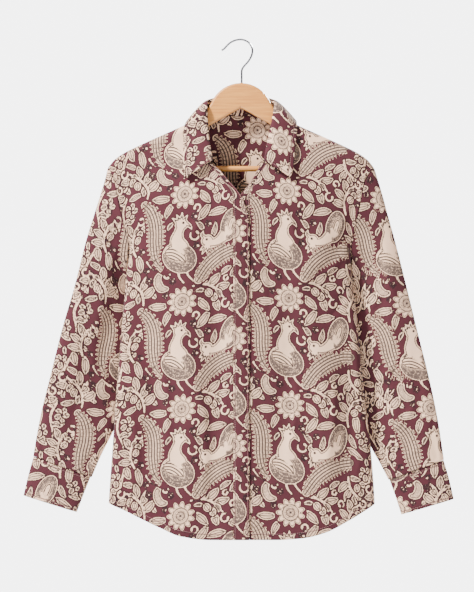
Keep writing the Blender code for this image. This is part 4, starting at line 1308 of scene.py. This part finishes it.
@dataclass
class ClothPiece:
    """One cut piece of the shirt, made as a thin sheet over its solid."""

    name: str
    node: str
    columns: int
    rows: int
    flat_size: tuple
    print_shift: tuple
    tube: bool = False

    def place(self, u: np.ndarray, v: np.ndarray) -> np.ndarray:
        """Places of the cloth's outside, for u and v from 0 to 1.

        Args:
            u: share across the sheet.
            v: share along it.

        Returns:
            The points, a row for each place.
        """
        raise NotImplementedError

    def stitched(self, p: np.ndarray, q: np.ndarray, u: np.ndarray,
                 v: np.ndarray) -> np.ndarray:
        """Distance from the nearest stitched line, far away by default.

        Args:
            p: distance across the flat cloth.
            q: distance along it.
            u: share across the sheet.
            v: share along it.

        Returns:
            The distance from the line at each place, in millimetres.
        """
        return np.full_like(p, 9.0)

    def seams(self) -> tuple:
        """Stitched lines, each as its first (u, v) and its last."""
        return ()

    def lie(self, u: np.ndarray, v: np.ndarray) -> tuple:
        """Places on the cloth and where its outside looks there.

        Args:
            u: share across the sheet.
            v: share along it.

        Returns:
            The points and their unit normals, a row for each place.
        """
        tiny = 1e-3
        points = self.place(u, v)
        over = self.place(np.minimum(u + tiny, 1.0), v) - self.place(np.maximum(u - tiny, 0.0), v)
        down = self.place(u, np.minimum(v + tiny, 1.0)) - self.place(u, np.maximum(v - tiny, 0.0))
        normals = unit(np.cross(over, down))
        return points, normals * np.sign(self.turned())

    def turned(self) -> float:
        """Which way the sheet's own normal looks in its middle.

        Returns:
            A number above 0 where it looks outwards.
        """
        u, v = np.array([0.75 if self.tube else 0.5]), np.array([0.5])
        over = self.place(u + 0.01, v) - self.place(u - 0.01, v)
        down = self.place(u, v + 0.01) - self.place(u, v - 0.01)
        return float(np.cross(over, down)[0] @ np.array(self.outward()))

    def build(self, cotton: bpy.types.Material) -> bpy.types.Object:
        """Make the sheet, its flat map and its print.

        Args:
            cotton: the cloth's material.

        Returns:
            The finished piece, riding on the body in place of its solid.
        """
        bm = bmesh.new()
        bmesh.ops.create_grid(bm, x_segments=self.columns, y_segments=self.rows, size=0.5)
        mesh = bpy.data.meshes.new(self.name)
        bm.to_mesh(mesh)
        bm.free()
        count = len(mesh.vertices)
        corner = np.empty(count * 3)
        mesh.vertices.foreach_get("co", corner)
        corner = corner.reshape(-1, 3)
        order = np.lexsort((np.round(corner[:, 0] * 1e5), np.round(corner[:, 1] * 1e5)))
        u, v = corner[order, 0] + 0.5, corner[order, 1] + 0.5
        points = self.place(u, v)
        p, q = self.flat_places(points)
        placed = np.empty((count, 3))
        placed[order] = points * MM
        mesh.vertices.foreach_set("co", placed.ravel())
        back = np.empty(count, int)
        back[order] = np.arange(count)
        self._print_on(mesh, p, q, u, v, back)
        item = bpy.data.objects.new(self.name, mesh)
        bpy.context.scene.collection.objects.link(item)
        self._close(item)
        mesh.materials.append(cotton)
        return self._finish(item)

    def flat_places(self, points: np.ndarray) -> tuple:
        """Work out where each place lies on the flat cloth, by measuring along it.

        Args:
            points: the sheet's points, row by row.

        Returns:
            The distance across and along the cloth, in millimetres.
        """
        grid = points.reshape(self.rows + 1, self.columns + 1, 3)
        across = np.linalg.norm(np.diff(grid, axis=1), axis=2)
        along = np.linalg.norm(np.diff(grid, axis=0), axis=2)
        p = np.concatenate((np.zeros((self.rows + 1, 1)), np.cumsum(across, axis=1)), axis=1)
        q = np.concatenate((np.zeros((1, self.columns + 1)), np.cumsum(along, axis=0)), axis=0)
        return self.settle(grid, p, q)

    def settle(self, grid: np.ndarray, p: np.ndarray, q: np.ndarray) -> tuple:
        """Give the measured lengths their zero, at the first column and at the rail's height.

        Args:
            grid: the points as rows of columns.
            p: length along each row.
            q: length along each column.

        Returns:
            The two flat distances as long arrays.
        """
        return p.ravel(), (q - grid[0, :, 2]).ravel()

    def _print_on(self, mesh: bpy.types.Mesh, p: np.ndarray, q: np.ndarray, u: np.ndarray,
                  v: np.ndarray, back: np.ndarray) -> None:
        """Write the print and the flat map onto the mesh.

        Args:
            mesh: the cloth's mesh.
            p: distance across the flat cloth.
            q: distance along it.
            u: share across the grid.
            v: share along the grid.
            back: for each vertex, its place in those arrays.
        """
        a, b = p + self.print_shift[0], q + self.print_shift[1]
        fields = {
            **{name: CHART.read(name, a, b) for name in CHART.fields},
            "edge": np.clip(self.stitched(p, q, u, v), -9.0, 9.0),
        }
        for name, values in fields.items():
            layer = mesh.attributes.new(name, "FLOAT", "POINT")
            layer.data.foreach_set("value", values[back])
        flat = mesh.uv_layers.new(name="flat")
        loops = np.empty(len(mesh.loops), int)
        mesh.loops.foreach_get("vertex_index", loops)
        spots = np.stack((a[back][loops], -b[back][loops]), axis=1) * MM
        flat.data.foreach_set("uv", spots.ravel())

    def _close(self, item: bpy.types.Object) -> None:
        """Weld a tube's seam and point the faces outwards.

        Args:
            item: the sheet's object.
        """
        bm = bmesh.new()
        bm.from_mesh(item.data)
        if self.tube:
            bmesh.ops.remove_doubles(bm, verts=bm.verts, dist=0.01 * MM)
        bm.faces.ensure_lookup_table()
        middle = bm.faces[self.middle_face()]
        middle.normal_update()
        if middle.normal.dot(self.outward()) < 0.0:
            bmesh.ops.reverse_faces(bm, faces=bm.faces)
        bm.to_mesh(item.data)
        bm.free()
        item.data.shade_smooth()

    def middle_face(self) -> int:
        """Number of a face in the middle of the sheet."""
        return (self.rows // 2) * self.columns + self.columns // 2

    def outward(self) -> Vector:
        """Where the outside looks, at the middle face."""
        return Vector((0.0, -1.0, 0.0))

    def _finish(self, item: bpy.types.Object) -> bpy.types.Object:
        """Give the sheet its thickness and its place on the frame.

        Args:
            item: the sheet's object.

        Returns:
            The same object.
        """
        wall = item.modifiers.new("cloth thickness", "SOLIDIFY")
        wall.thickness = CLOTH_THICK * MM
        wall.offset = -1.0
        wall.use_even_offset = False
        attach(item, BODY)
        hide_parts(self.node)
        log.info("%s: %d faces", item.name, len(item.data.polygons))
        return item


def near_side(side: Side, right: object, left: object) -> object:
    """Choose what belongs to a side."""
    return right if side is Side.RIGHT else left


@dataclass
class Front(ClothPiece):
    """A front, from its closing seam to the side seam and from shoulder to hem."""

    side: Side = Side.RIGHT
    hem_fold: float = 9.0
    seam_in: float = 0.8
    crowding: float = 1.25

    def seams(self) -> tuple:
        """The hem is turned up and stitched."""
        return (((0.01, 0.9884), (0.99, 0.9884)),)

    def place(self, u: np.ndarray, v: np.ndarray) -> np.ndarray:
        """Places of the front, column by column down from the shoulder.

        Args:
            u: share across the sheet.
            v: share along it.

        Returns:
            The points, a row for each place.
        """
        seam, edge = SEAM_EDGE[self.side], SIDE_EDGE[self.side]
        top = np.full_like(u, SHOULDER_END)
        for _ in range(FITTING_ROUNDS):
            out = mix(seam.at(top), edge.at(top), u)
            top = 0.5 * (top + SHOULDER.at(out))
        sign = self.side.value
        hem_out = edge.at(HEM.at(np.array(sign * HEM_SIDE)))
        low = sign * mix(seam.at(np.array(HEM_LOWEST)), hem_out, u)
        down = mix(top, HEM.at(low), v**self.crowding)
        x = sign * mix(seam.at(down) + FORM.seam_gap, edge.at(down), u)
        return FORM.front(self.side, x, down)

    def settle(self, grid: np.ndarray, p: np.ndarray, q: np.ndarray) -> tuple:
        """Measure across from the middle of the shirt.

        Args:
            grid: the points as rows of columns.
            p: length along each row.
            q: length along each column.

        Returns:
            The two flat distances as long arrays.
        """
        _, q = super().settle(grid, p, q)
        p = self.side.value * (np.abs(grid[:, :1, 0]) + p)
        return p.ravel(), q

    def stitched(self, p: np.ndarray, q: np.ndarray, u: np.ndarray,
                 v: np.ndarray) -> np.ndarray:
        """The hem's stitched line and the seam of the armhole.

        Args:
            p: distance across the flat cloth.
            q: distance along it.
            u: share across the sheet.
            v: share along it.

        Returns:
            The distance from the line at each place, in millimetres.
        """
        shape = (self.rows + 1, self.columns + 1)
        lengths, across = q.reshape(shape), p.reshape(shape)
        hem = np.abs(lengths[-1:] - lengths - self.hem_fold)
        armhole = np.abs(across[:, -1:] - across) - self.seam_in
        armhole = armhole + np.maximum(lengths[:, -1:] - FORM.underarm_down, 0.0)
        return np.minimum(hem, np.abs(armhole)).ravel()


@dataclass
class Placket(ClothPiece):
    """The strip down a front's edge, narrow by the neck and wide below it."""

    side: Side = Side.RIGHT
    top: float = 206.8
    stitch_in: float = 3.0

    def seams(self) -> tuple:
        """The strip is stitched along both edges."""
        return (((0.1, 0.005), (0.1, 0.995)), ((0.9, 0.005), (0.9, 0.995)))

    def place(self, u: np.ndarray, v: np.ndarray) -> np.ndarray:
        """Places of the strip, from the free edge to its seam.

        Args:
            u: share across the sheet.
            v: share along it.

        Returns:
            The points, a row for each place.
        """
        sign = self.side.value
        seam = SEAM_EDGE[self.side]
        low = HEM.at(sign * seam.at(np.array(HEM_LOWEST)))
        down = mix(self.top, low, v)
        out = mix(FREE_EDGE[self.side].at(down), seam.at(down), u)
        return FORM.front(self.side, sign * out, down)

    def settle(self, grid: np.ndarray, p: np.ndarray, q: np.ndarray) -> tuple:
        """Measure across from the free edge.

        Args:
            grid: the points as rows of columns.
            p: length along each row.
            q: length along each column.

        Returns:
            The two flat distances as long arrays.
        """
        row = self.rows // 2
        q = q - q[row] - grid[row, :, 2]
        return (-self.side.value * (p.max() - p)).ravel(), q.ravel()

    def stitched(self, p: np.ndarray, q: np.ndarray, u: np.ndarray,
                 v: np.ndarray) -> np.ndarray:
        """The line that runs down beside the seam."""
        across = p.reshape(self.rows + 1, self.columns + 1)
        return (np.abs(across - across[:, -1:]) - self.stitch_in).ravel()


@dataclass
class Back(ClothPiece):
    """The back, one piece from side to side."""

    crowding: float = 1.3
    hem_fold: float = 9.0
    neck_seam: Curve = Curve(((0, 126), (32, 125), (57, 122), (66, 121)))
    neck_out: float = 66.0
    neck_gap: float = 0.8

    def seams(self) -> tuple:
        """The hem is turned up and stitched."""
        return (((0.01, 0.9893), (0.99, 0.9893)),)

    def place(self, u: np.ndarray, v: np.ndarray) -> np.ndarray:
        """Places of the back, down from the collar seam and the shoulders.

        Args:
            u: share across the sheet.
            v: share along it.

        Returns:
            The points, a row for each place.
        """
        share = np.abs(2.0 * u - 1.0)
        sign = np.where(u < 0.5, -1.0, 1.0)

        def edge(down: np.ndarray) -> np.ndarray:
            """The side edge on either side."""
            return np.where(u < 0.5, SIDE_EDGE[Side.RIGHT].at(down), SIDE_EDGE[Side.LEFT].at(down))

        top = np.full_like(u, SHOULDER_END)
        for _ in range(FITTING_ROUNDS):
            out = share * edge(top)
            start = np.where(out < self.neck_out, self.neck_seam.at(out) + self.neck_gap,
                             SHOULDER.at(out))
            top = 0.5 * (top + start)
        low = sign * share * edge(HEM.at(sign * HEM_SIDE))
        down = mix(top, HEM.at(low), v**self.crowding)
        return FORM.back(sign * share * edge(down), down)

    def settle(self, grid: np.ndarray, p: np.ndarray, q: np.ndarray) -> tuple:
        """Measure across from the middle of the back.

        Args:
            grid: the points as rows of columns.
            p: length along each row.
            q: length along each column.

        Returns:
            The two flat distances as long arrays.
        """
        _, q = super().settle(grid, p, q)
        middle = p[:, self.columns // 2]
        return (p - middle[:, None]).ravel(), q

    def outward(self) -> Vector:
        """The back looks backwards."""
        return Vector((0.0, 1.0, 0.0))

    def stitched(self, p: np.ndarray, q: np.ndarray, u: np.ndarray,
                 v: np.ndarray) -> np.ndarray:
        """The hem's stitched line."""
        lengths = q.reshape(self.rows + 1, self.columns + 1)
        return (lengths[-1:] - lengths - self.hem_fold).ravel()


@dataclass
class Sleeve(ClothPiece):
    """A sleeve, a flattened tube from the armhole to the cuff."""

    side: Side = Side.RIGHT
    armhole_gap: float = 0.6
    gap_fade: float = 0.04
    seam_turned: float = 4.0
    seam_narrowed: float = 0.8
    lean: float = 12.5

    def place(self, u: np.ndarray, v: np.ndarray) -> np.ndarray:
        """Places of the sleeve, round from the inner edge over the back.

        Args:
            u: share across the sheet.
            v: share along it.

        Returns:
            The points, a row for each place.
        """
        turn = (u + 0.5) % 1.0
        turn = np.where(u >= 1.0 - 1e-9, 0.5, turn)
        points = FORM.sleeve(self.side, v, turn)
        points[:, 0] += self.side.value * self.armhole_gap * (1.0 - ease(v / self.gap_fade))
        first = v < 0.5 / self.rows
        points[first, 0] -= self.side.value * self.seam_turned
        points[first, 1] *= self.seam_narrowed
        return points

    def middle_face(self) -> int:
        """A face in the middle of the sleeve's front."""
        return (self.rows // 2) * self.columns + (3 * self.columns) // 4

    def settle(self, grid: np.ndarray, p: np.ndarray, q: np.ndarray) -> tuple:
        """Measure along the sleeve's own axis and round it from the middle of the front.

        Args:
            grid: the points as rows of columns.
            p: length along each row.
            q: length along each column.

        Returns:
            The two flat distances as long arrays.
        """
        front = (3 * self.columns) // 4
        lean = self.side.value * math.radians(self.lean)
        across = grid[:, :, 0] * math.cos(lean) + grid[:, :, 2] * math.sin(lean)
        along = grid[:, :, 0] * math.sin(lean) - grid[:, :, 2] * math.cos(lean)
        steps, level = np.diff(p, axis=1), np.diff(along, axis=1)
        steps = np.sqrt(np.maximum(steps * steps - level * level, 0.0))
        round_it = np.concatenate((np.zeros((len(p), 1)), np.cumsum(steps, axis=1)), axis=1)
        way = np.sign(np.median(np.diff(across, axis=1)[:, front]))
        round_it = way * (round_it - round_it[:, front:front + 1])
        steps, level = np.diff(q, axis=0), np.diff(across, axis=0)
        steps = np.sqrt(np.maximum(steps * steps - level * level, 0.0))
        down_it = np.concatenate((along[:1], along[:1] + np.cumsum(steps, axis=0)), axis=0)
        return (across[:, front:front + 1] + round_it).ravel(), down_it.ravel()


@dataclass
class Cuff(ClothPiece):
    """A cuff, with a stitched line along both edges."""

    side: Side = Side.RIGHT
    stitch_in: float = 5.0
    depth: float = 70.0

    def seams(self) -> tuple:
        """The cuff is stitched round both edges."""
        return (((0.01, 0.07), (0.99, 0.07)), ((0.01, 0.93), (0.99, 0.93)))

    def place(self, u: np.ndarray, v: np.ndarray) -> np.ndarray:
        """Places of the cuff, round from the inner edge over the back."""
        turn = np.where(u >= 1.0 - 1e-9, 0.5, (u + 0.5) % 1.0)
        return FORM.cuff(self.side, v, turn)

    def middle_face(self) -> int:
        """A face in the middle of the cuff's front."""
        return (self.rows // 2) * self.columns + (3 * self.columns) // 4

    def stitched(self, p: np.ndarray, q: np.ndarray, u: np.ndarray,
                 v: np.ndarray) -> np.ndarray:
        """The lines along both edges of the cuff."""
        return np.minimum(v, 1.0 - v) * self.depth - self.stitch_in


def neck_places(grid: np.ndarray) -> tuple:
    """Flat places for cloth that goes round the neck.

    Args:
        grid: the points as rows of columns.

    Returns:
        The distance round the neck and down, in millimetres.
    """
    sign = np.sign(grid[:, :, 0])
    return (grid[:, :, 0] + sign * grid[:, :, 1]).ravel(), -grid[:, :, 2].ravel()


@dataclass
class CollarStand(ClothPiece):
    """The band that stands round the neck."""

    def settle(self, grid: np.ndarray, p: np.ndarray, q: np.ndarray) -> tuple:
        """Measure round the neck, so that the print stands upright."""
        return neck_places(grid)

    def place(self, u: np.ndarray, v: np.ndarray) -> np.ndarray:
        """Places of the band, from its roll down to the neck seam."""
        seam, roll, _ = FORM.collar(2.0 * u - 1.0)
        return mix(roll, seam, v[:, None])

    def outward(self) -> Vector:
        """At the middle of the back the band looks backwards."""
        return Vector((0.0, 1.0, 0.0))


@dataclass
class CollarLeaf(ClothPiece):
    """The collar's falling leaf, with a point at each end."""

    stitch_in: float = 5.0
    leaf_depth: float = 48.0
    leaf_length: float = 420.0
    stand_off: float = 2.6
    lift_from: float = 0.58
    lift_over: float = 0.2

    def seams(self) -> tuple:
        """The leaf is stitched along its ends and its outer edge."""
        return (((0.012, 0.12), (0.012, 0.9)), ((0.012, 0.9), (0.988, 0.9)),
                ((0.988, 0.9), (0.988, 0.12)))

    def place(self, u: np.ndarray, v: np.ndarray) -> np.ndarray:
        """Places of the leaf, from the roll to its outer edge, which stands off in front.

        Args:
            u: share across the sheet.
            v: share along it.

        Returns:
            The points, a row for each place.
        """
        turn = 2.0 * u - 1.0
        points = FORM.leaf(turn, v)
        lifted = ease((np.abs(turn) - self.lift_from) / self.lift_over)
        points[:, 1] -= self.stand_off * ease(v) * lifted
        return points

    def settle(self, grid: np.ndarray, p: np.ndarray, q: np.ndarray) -> tuple:
        """Measure round the neck, so that the print stands upright."""
        return neck_places(grid)

    def outward(self) -> Vector:
        """At the middle of the back the leaf looks backwards."""
        return Vector((0.0, 1.0, 0.0))

    def stitched(self, p: np.ndarray, q: np.ndarray, u: np.ndarray,
                 v: np.ndarray) -> np.ndarray:
        """The line that follows the leaf's outer edge and its ends.

        Args:
            p: distance across the flat cloth.
            q: distance along it.
            u: share across the sheet.
            v: share along it.

        Returns:
            The distance from the line at each place, in millimetres.
        """
        low = self.leaf_depth * (1.0 - v)
        ends = self.leaf_length * np.minimum(u, 1.0 - u)
        return np.minimum(low, ends) - self.stitch_in


@dataclass
class Stitching:
    """Rows of straight stitches that lie on the cloth along its stitched lines."""

    stitch: float = 2.4
    spacing: float = 3.3
    half_width: float = 0.28
    height: float = 0.3
    samples: int = 400

    def sew(self, piece: ClothPiece, thread: bpy.types.Material) -> None:
        """Lay the stitches of one piece.

        Args:
            piece: the cloth piece.
            thread: the thread's material.
        """
        spots = [row for seam in piece.seams() for row in self.rows(piece, *seam)]
        if not spots:
            return
        bm = bmesh.new()
        for middle, along, normal in spots:
            aside = normal.cross(along).normalized()
            turned = Matrix((along, aside, normal)).transposed().to_4x4()
            size = Matrix.Diagonal((self.stitch * MM, 2.0 * self.half_width * MM,
                                    self.height * MM, 1.0))
            bmesh.ops.create_cube(bm, size=1.0, matrix=Matrix.Translation(middle) @ turned @ size)
        mesh = bpy.data.meshes.new(f"stitches_{piece.node}")
        bm.to_mesh(mesh)
        bm.free()
        mesh.materials.append(thread)
        item = bpy.data.objects.new(mesh.name, mesh)
        bpy.context.scene.collection.objects.link(item)
        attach(item, BODY)
        log.info("%s: %d stitches", item.name, len(spots))

    def rows(self, piece: ClothPiece, first: tuple, last: tuple) -> list:
        """Find each stitch of one straight seam.

        Args:
            piece: the cloth piece.
            first: where the seam starts, as (u, v).
            last: where it ends.

        Returns:
            For each stitch its middle in metres, its direction and the cloth's normal.
        """
        share = np.linspace(0.0, 1.0, self.samples)
        points, normals = piece.lie(mix(first[0], last[0], share), mix(first[1], last[1], share))
        steps = np.linalg.norm(np.diff(points, axis=0), axis=1)
        reached = np.concatenate(((0.0,), np.cumsum(steps)))
        found = []
        for start in np.arange(0.5, reached[-1] - self.spacing, self.spacing):
            ends = [
                Vector([np.interp(at, reached, points[:, axis]) for axis in range(3)])
                for at in (start, start + self.stitch)
            ]
            normal = Vector([np.interp(start, reached, normals[:, axis]) for axis in range(3)])
            middle = (ends[0] + ends[1]) / 2.0 + normal * 0.3 * self.height
            found.append((middle * MM, (ends[1] - ends[0]).normalized(), normal.normalized()))
        return found


@dataclass
class Hanger:
    """The wooden hanger, its bar and its hook, which keep their solids."""

    wood: VarnishedBeech = VarnishedBeech()
    wire: ChromedWire = ChromedWire()

    def build(self) -> None:
        """Dress the three solids."""
        beech, chrome = self.wood.material(), self.wire.material()
        for name, finish, slot in (
            ("hanger", beech, "varnished_beech"),
            ("hanger_bar", beech, "varnished_beech"),
            ("hook", chrome, "chromed_wire"),
        ):
            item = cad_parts[name]
            item.data.materials.clear()
            item.data.materials.append(finish)
            log.info("%s: dressed", name)


@dataclass
class Buttons:
    """The hidden front buttons and the cuff buttons, which keep their solids."""

    resin: ButtonResin = ButtonResin()

    def build(self) -> None:
        """Dress each button."""
        finish = self.resin.material()
        for name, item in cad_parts.items():
            if name.startswith("button_"):
                item.data.materials.clear()
                item.data.materials.append(finish)
                log.info("%s: dressed", name)


@dataclass(frozen=True)
class Lamp:
    """A round soft lamp: its place and size in metres and its power in watts."""

    name: str
    spot: tuple
    size: float
    power: float


@dataclass
class Studio:
    """Pale floor, soft light and the camera."""

    clip_range: tuple = (0.1, 60.0)
    middle_x: float = -6.7
    middle_down: float = 429.2
    frame_height: float = 994.6
    distance: float = 6000.0
    sensor: float = 36.0
    floor_down: float = 1300.0
    floor_radius: float = 4.2
    floor_colour: str = "F0F0F1"
    floor_roughness: float = 0.8
    air_colour: str = "F3F3F4"
    surround: float = 6.2
    glow: float = 0.8
    aim_down: float = 420.0
    lamps: tuple = (Lamp("key lamp", (-2.4, -1.5, 2.5), 0.45, 610.0),
                    Lamp("back lamp", (1.9, 2.4, 1.3), 1.0, 260.0))

    def build(self) -> None:
        """Set up everything round the shirt."""
        self.floor()
        self.lights()
        self.camera()
        log.info("studio: floor, %d lamps and camera", len(self.lamps))

    def floor(self) -> None:
        """A wide round pale floor below the shirt."""
        bm = bmesh.new()
        bmesh.ops.create_circle(bm, cap_ends=True, segments=128, radius=self.floor_radius)
        bmesh.ops.translate(bm, verts=bm.verts, vec=(0.0, 0.0, -self.floor_down * MM))
        mesh = bpy.data.meshes.new("floor")
        bm.to_mesh(mesh)
        bm.free()
        # A flat light grey, as a painted floor has.
        made, _, shader = new_material("pale painted floor")
        shader.inputs["Base Color"].default_value = linear(self.floor_colour)
        shader.inputs["Roughness"].default_value = self.floor_roughness
        mesh.materials.append(made)
        item = bpy.data.objects.new("floor", mesh)
        bpy.context.scene.collection.objects.link(item)

    def lights(self) -> None:
        """A pale surround, a soft lamp on the upper left and a weaker one behind."""
        world = bpy.data.worlds.new("pale studio")
        world.use_nodes = True
        tree = world.node_tree
        glow, seen = tree.nodes["Background"], add_node(tree, "ShaderNodeBackground")
        for source, strength in ((glow, self.glow), (seen, self.surround)):
            source.inputs["Color"].default_value = linear(self.air_colour)
            source.inputs["Strength"].default_value = strength
        # The surround that is seen is paler than the light that it sheds on the shirt.
        share = add_node(tree, "ShaderNodeMixShader", {},
                         {0: add_node(tree, "ShaderNodeLightPath").outputs["Is Camera Ray"],
                          1: glow.outputs[0], 2: seen.outputs[0]})
        tree.links.new(share.outputs[0], tree.nodes["World Output"].inputs["Surface"])
        bpy.context.scene.world = world
        for lamp in self.lamps:
            light = bpy.data.lights.new(lamp.name, "AREA")
            light.shape = "DISK"
            light.size = lamp.size
            light.energy = lamp.power
            item = bpy.data.objects.new(lamp.name, light)
            item.location = lamp.spot
            aim = Vector((0.0, 0.0, -self.aim_down * MM)) - Vector(lamp.spot)
            item.rotation_mode = "QUATERNION"
            item.rotation_quaternion = aim.to_track_quat("-Z", "Y")
            bpy.context.scene.collection.objects.link(item)

    def camera(self) -> None:
        """A long lens straight in front, framed as the photograph."""
        lens = bpy.data.cameras.new("camera")
        lens.sensor_width = self.sensor
        lens.lens = self.sensor * self.distance / self.frame_height
        lens.clip_start, lens.clip_end = self.clip_range
        item = bpy.data.objects.new("camera", lens)
        item.location = (self.middle_x * MM, -self.distance * MM, -self.middle_down * MM)
        item.rotation_euler = (math.radians(90.0), 0.0, 0.0)
        bpy.context.scene.collection.objects.link(item)
        bpy.context.scene.camera = item


def cloth_pieces() -> list:
    """The shirt's cut pieces in the order in which they are sewn.

    Returns:
        One builder for each piece.
    """
    made = []
    for side in Side:
        end = side.name.lower()
        made.append(Front(f"cloth_front_{end}", f"front_{end}", 124, 380, (0.27, 0.72, 0.145),
                          near_side(side, (190.1, 83.6), (4.9, 91.3)), side=side))
        made.append(Placket(f"cloth_placket_{end}", f"placket_{end}", 14, 300,
                            near_side(side, (0.027, 0.64, None), (0.0245, 0.64, None)),
                            near_side(side, (90.0, 40.0), (20.0, 90.0)),
                            side=side))
        made.append(Sleeve(f"cloth_sleeve_{end}", f"sleeve_{end}", 124, 250,
                           (0.30, 0.56, 0.125), near_side(side, (150.0, 60.0), (162.1, 48.3)),
                           tube=True, side=side))
        made.append(Cuff(f"cloth_cuff_{end}", f"cuff_{end}", 110, 36, (0.21, 0.075, None),
                         near_side(side, (30.0, 20.0), (140.0, 110.0)), tube=True, side=side))
    made.append(Back("cloth_back", "back", 180, 260, (0.52, 0.73, 0.28), (60.0, 30.0)))
    made.append(CollarStand("cloth_collar_stand", "collar_stand", 200, 14, (0.36, 0.031, 0.0060),
                            (0.0, 0.0)))
    made.append(CollarLeaf("cloth_collar_leaf", "collar_leaf", 230, 36, (0.44, 0.070, 0.0215),
                           (45.0, 10.0)))
    return made


def main() -> None:
    """Build the shirt's looks piece by piece."""
    logging.basicConfig(level=logging.INFO, format="%(name)s %(message)s")
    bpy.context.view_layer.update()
    cotton = PrintedCotton().material()
    thread = SewingThread().material()
    stitching = Stitching()
    for piece in cloth_pieces():
        piece.build(cotton)
        stitching.sew(piece, thread)
    Hanger().build()
    Buttons().build()
    Studio().build()


if __name__ == "__main__":
    main()
